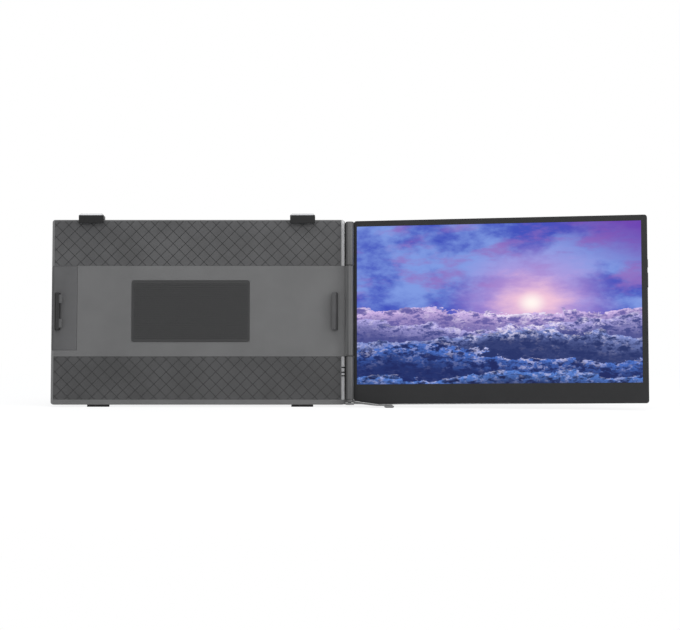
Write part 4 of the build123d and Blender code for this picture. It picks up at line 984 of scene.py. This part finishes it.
# %% Finishes inside the housings
board = Finish("circuit_board_lacquer", SCREEN)
tracks = board.noise(420, 1, 0.4, (1, 1, 0.25))
lacquer = board.done(board.mix(board.smooth(tracks, 0.50, 0.54), grey(52, (0.25, 1.0, 0.45)),
                               grey(84, (0.3, 1.0, 0.5))),
                     board.smooth(tracks, 0.4, 0.6, 0.28, 0.4))
flex = Finish("flat_cable_film", SCREEN)
stripes = flex.noise(1.0, 1, 0.3, (900, 10, 10))
film = flex.done(flex.mix(stripes, grey(150, (1, 0.62, 0.2)), grey(190, (1, 0.66, 0.25))),
                 flex.smooth(stripes, 0.3, 0.7, 0.3, 0.42))
TONGUE_HALF, TONGUE_IN, CONTACT_PITCH = 0.0009, 0.6, 0.0005


def socket_look():
    """Plated shell; the tongue inside is black with gold contacts across it."""
    look = Finish("socket_plating", SCREEN)
    across, back, up = look.axes()
    low, high = islands("mini_video_port", SCREEN)[0]
    middle = (low.y + high.y) / 2 * MM
    inner = look.math("LESS_THAN", look.math("ABSOLUTE", look.math("SUBTRACT", back, middle)),
                      TONGUE_HALF)
    inner = look.math("MULTIPLY", inner,
                      look.math("LESS_THAN", across, (high.x - TONGUE_IN) * MM))
    lines = look.math("FRACT", look.math("DIVIDE", up, CONTACT_PITCH))
    gold = look.math("LESS_THAN", lines, 0.5)
    tongue = look.mix(gold, grey(24), (0.55, 0.38, 0.15, 1))
    metal = look.math("MAXIMUM", look.math("SUBTRACT", 1.0, inner), gold)
    brushed = look.noise(1.0, 3, 0.6, (60, 2500, 2500))
    return look.done(look.mix(inner, grey(186), tongue),
                     look.smooth(brushed, 0.3, 0.7, 0.24, 0.38), Metallic=metal)


plating = socket_look()
light_unit = moulded("light_unit_film", SCREEN, 225, 0.35, 900, 0.00001, (1, 1, 1))
for node, look in (("arm_guides", nylon), ("hook_guides", nylon), ("base_stiffener", plate_steel),
                   ("upper_friction_sleeve", steel), ("lower_friction_sleeve", steel),
                   ("upper_hinge_shaft", steel), ("lower_hinge_shaft", steel),
                   ("backlight_unit", light_unit), ("driver_board", lacquer),
                   ("button_board", lacquer), ("panel_flex", film),
                   ("speakers", speaker_black), ("audio_jack", speaker_black),
                   ("usb_c_ports", plating), ("mini_video_port", plating),
                   ("left_hook_pad", rubber), ("right_hook_pad", rubber)):
    dress(node, look)
print("finishes:", len(bpy.data.materials))

# %% [markdown]
# The centre pad is a soft sheet with shallow ribs, so that what it holds doesn't slip. The ribs are
# cut the same way as the lattice, with one set of level planes: every second strip is pushed in.

# %% Ribbed centre pad
RIB_PITCH, RIB_DEPTH, RIB_DRAFT = 2.0, 0.3, 0.06
PAD_RIM, FIRST_RIB, INSIDE = 2.2, 3.2, 2  # in from the pad's edges
FIELD_AREA, NEAR_FRONT = 2000, 0.01  # square millimetres, and millimetres behind the front


def ribbed_pad():
    """Rubber pad with level ribs inside a plain rim."""
    low, high = span("centre_pad", HOLDER)
    bm = welded("centre_pad")
    own_frame(bm, HOLDER)

    def front():
        return [f for f in bm.faces if f.normal.y < -STRAIGHT]

    bmesh.ops.inset_region(bm, faces=front(), thickness=PAD_RIM, use_even_offset=True)
    field = [f for f in front() if f.calc_area() > FIELD_AREA]
    z = low.z + FIRST_RIB
    bounds = []
    while z < high.z - FIRST_RIB:
        cut(bm, field, (0, 0, z), (0, 0, 1))
        field = [f for f in front()
                 if low.x + INSIDE < f.calc_center_median().x < high.x - INSIDE
                 and low.z + INSIDE < f.calc_center_median().z < high.z - INSIDE
                 and f.calc_center_bounds().y < low.y + NEAR_FRONT]
        bounds.append(z)
        z += RIB_PITCH / 2
    sunk = []
    for face in field:
        height = face.calc_center_median().z
        step = round((height - bounds[0] - RIB_PITCH / 4) / (RIB_PITCH / 2))
        if face.calc_area() < FIELD_AREA and bounds[0] < height < bounds[-1] and step % 2 == 0:
            sunk.append(face)
    bmesh.ops.inset_individual(bm, faces=sunk, thickness=RIB_DRAFT, use_even_offset=True)
    moved = bmesh.ops.extrude_discrete_faces(bm, faces=sunk)
    print("pad ribs", len(sunk))
    return bm, moved["faces"]


def finish_pad():
    """Pushes the strips in and places the pad."""
    bm, strips = ribbed_pad()
    verts = dict.fromkeys(v for f in strips for v in f.verts)
    bmesh.ops.translate(bm, vec=(0, RIB_DEPTH, 0), verts=list(verts))
    bmesh.ops.recalc_face_normals(bm, faces=bm.faces)
    into_room(bm, HOLDER)
    piece = make_piece(bm, "centre_pad_ribbed", "holder", "grip_rubber", [pad_rubber],
                       smooth=25)
    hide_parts("centre_pad")


finish_pad()

# %% [markdown]
# The screws on the back are small flat heads with a cross recess. A disc is drawn down to a shank
# of the measured length, its rim is bevelled, and eight cuts mark a cross that is pushed in. The
# places are read from the measured screws, one island of connected faces for each.

# %% Screws with cross recesses
HEAD_R, HEAD_T, HEAD_ROUND, SHANK_R = 1.9, 1.0, 0.22, 1.0
CROSS_REACH, CROSS_HALF, CROSS_DEPTH = 1.15, 0.24, 0.55
TURN_STEP = 37  # degrees; each screw has stopped at an angle of its own


def cross_screw(length):
    """A screw that points along -Z, its head's face at z = 0, in millimetres."""
    bm = bmesh.new()
    bmesh.ops.create_circle(bm, cap_ends=True, segments=32, radius=HEAD_R)
    under = bmesh.ops.extrude_face_region(bm, geom=bm.faces[:], use_keep_orig=True)
    face = made(under, FACE)
    bmesh.ops.translate(bm, vec=(0, 0, -HEAD_T), verts=made(under, VERT))
    bmesh.ops.inset_region(bm, faces=face, thickness=HEAD_R - SHANK_R)
    push(bm, face, (0, 0, HEAD_T - length))
    bmesh.ops.recalc_face_normals(bm, faces=bm.faces)
    rim = [e for e in bm.edges if all(abs(v.co.z) < 1e-5 for v in e.verts)]
    round_edges(bm, rim, HEAD_ROUND)

    def top():
        return [f for f in bm.faces
                if f.normal.z > STRAIGHT and f.calc_center_median().z > -1e-4]

    for axis in ((1, 0, 0), (0, 1, 0)):
        for offset in (-CROSS_REACH, -CROSS_HALF, CROSS_HALF, CROSS_REACH):
            cut(bm, top(), Vector(axis) * offset, axis, 1e-5)
    cross = []
    for face in top():
        x, y = (abs(c) for c in face.calc_center_median().xy)
        if (x < CROSS_HALF and y < CROSS_REACH) or (y < CROSS_HALF and x < CROSS_REACH):
            cross.append(face)
    push(bm, cross, (0, 0, -CROSS_DEPTH))
    bmesh.ops.recalc_face_normals(bm, faces=bm.faces)
    return bm


screw_black = painted_metal("screw_black", ROOM, 66, 0.28)
for node, place in (("base_screws", HOLDER), ("monitor_screws", SCREEN)):
    joined = bmesh.new()
    found = islands(node, place)
    for i, (low, high) in enumerate(found):
        bm = cross_screw(high.y - low.y)
        for degrees, axis in ((TURN_STEP * i, "Z"), (-90, "X")):
            bmesh.ops.rotate(bm, verts=bm.verts,
                             matrix=Matrix.Rotation(math.radians(degrees), 3, axis))
        bmesh.ops.translate(bm, verts=bm.verts,
                            vec=((low.x + high.x) / 2, high.y, (low.z + high.z) / 2))
        into_room(bm, place)
        one = bpy.data.meshes.new("one_screw")
        bm.to_mesh(one)
        bm.free()
        joined.from_mesh(one)
        bpy.data.meshes.remove(one)
    piece = make_piece(joined, node + "_cross", body_of[node], slot_of[node], [screw_black])
    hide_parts(node)
    print(node, len(found), "screws")

# %% [markdown]
# The last cell brings the view layer up to date. The looks have to stay inside the measured box,
# so that the part is as large as its record says.

# %% Bring the scene up to date
bpy.context.view_layer.update()
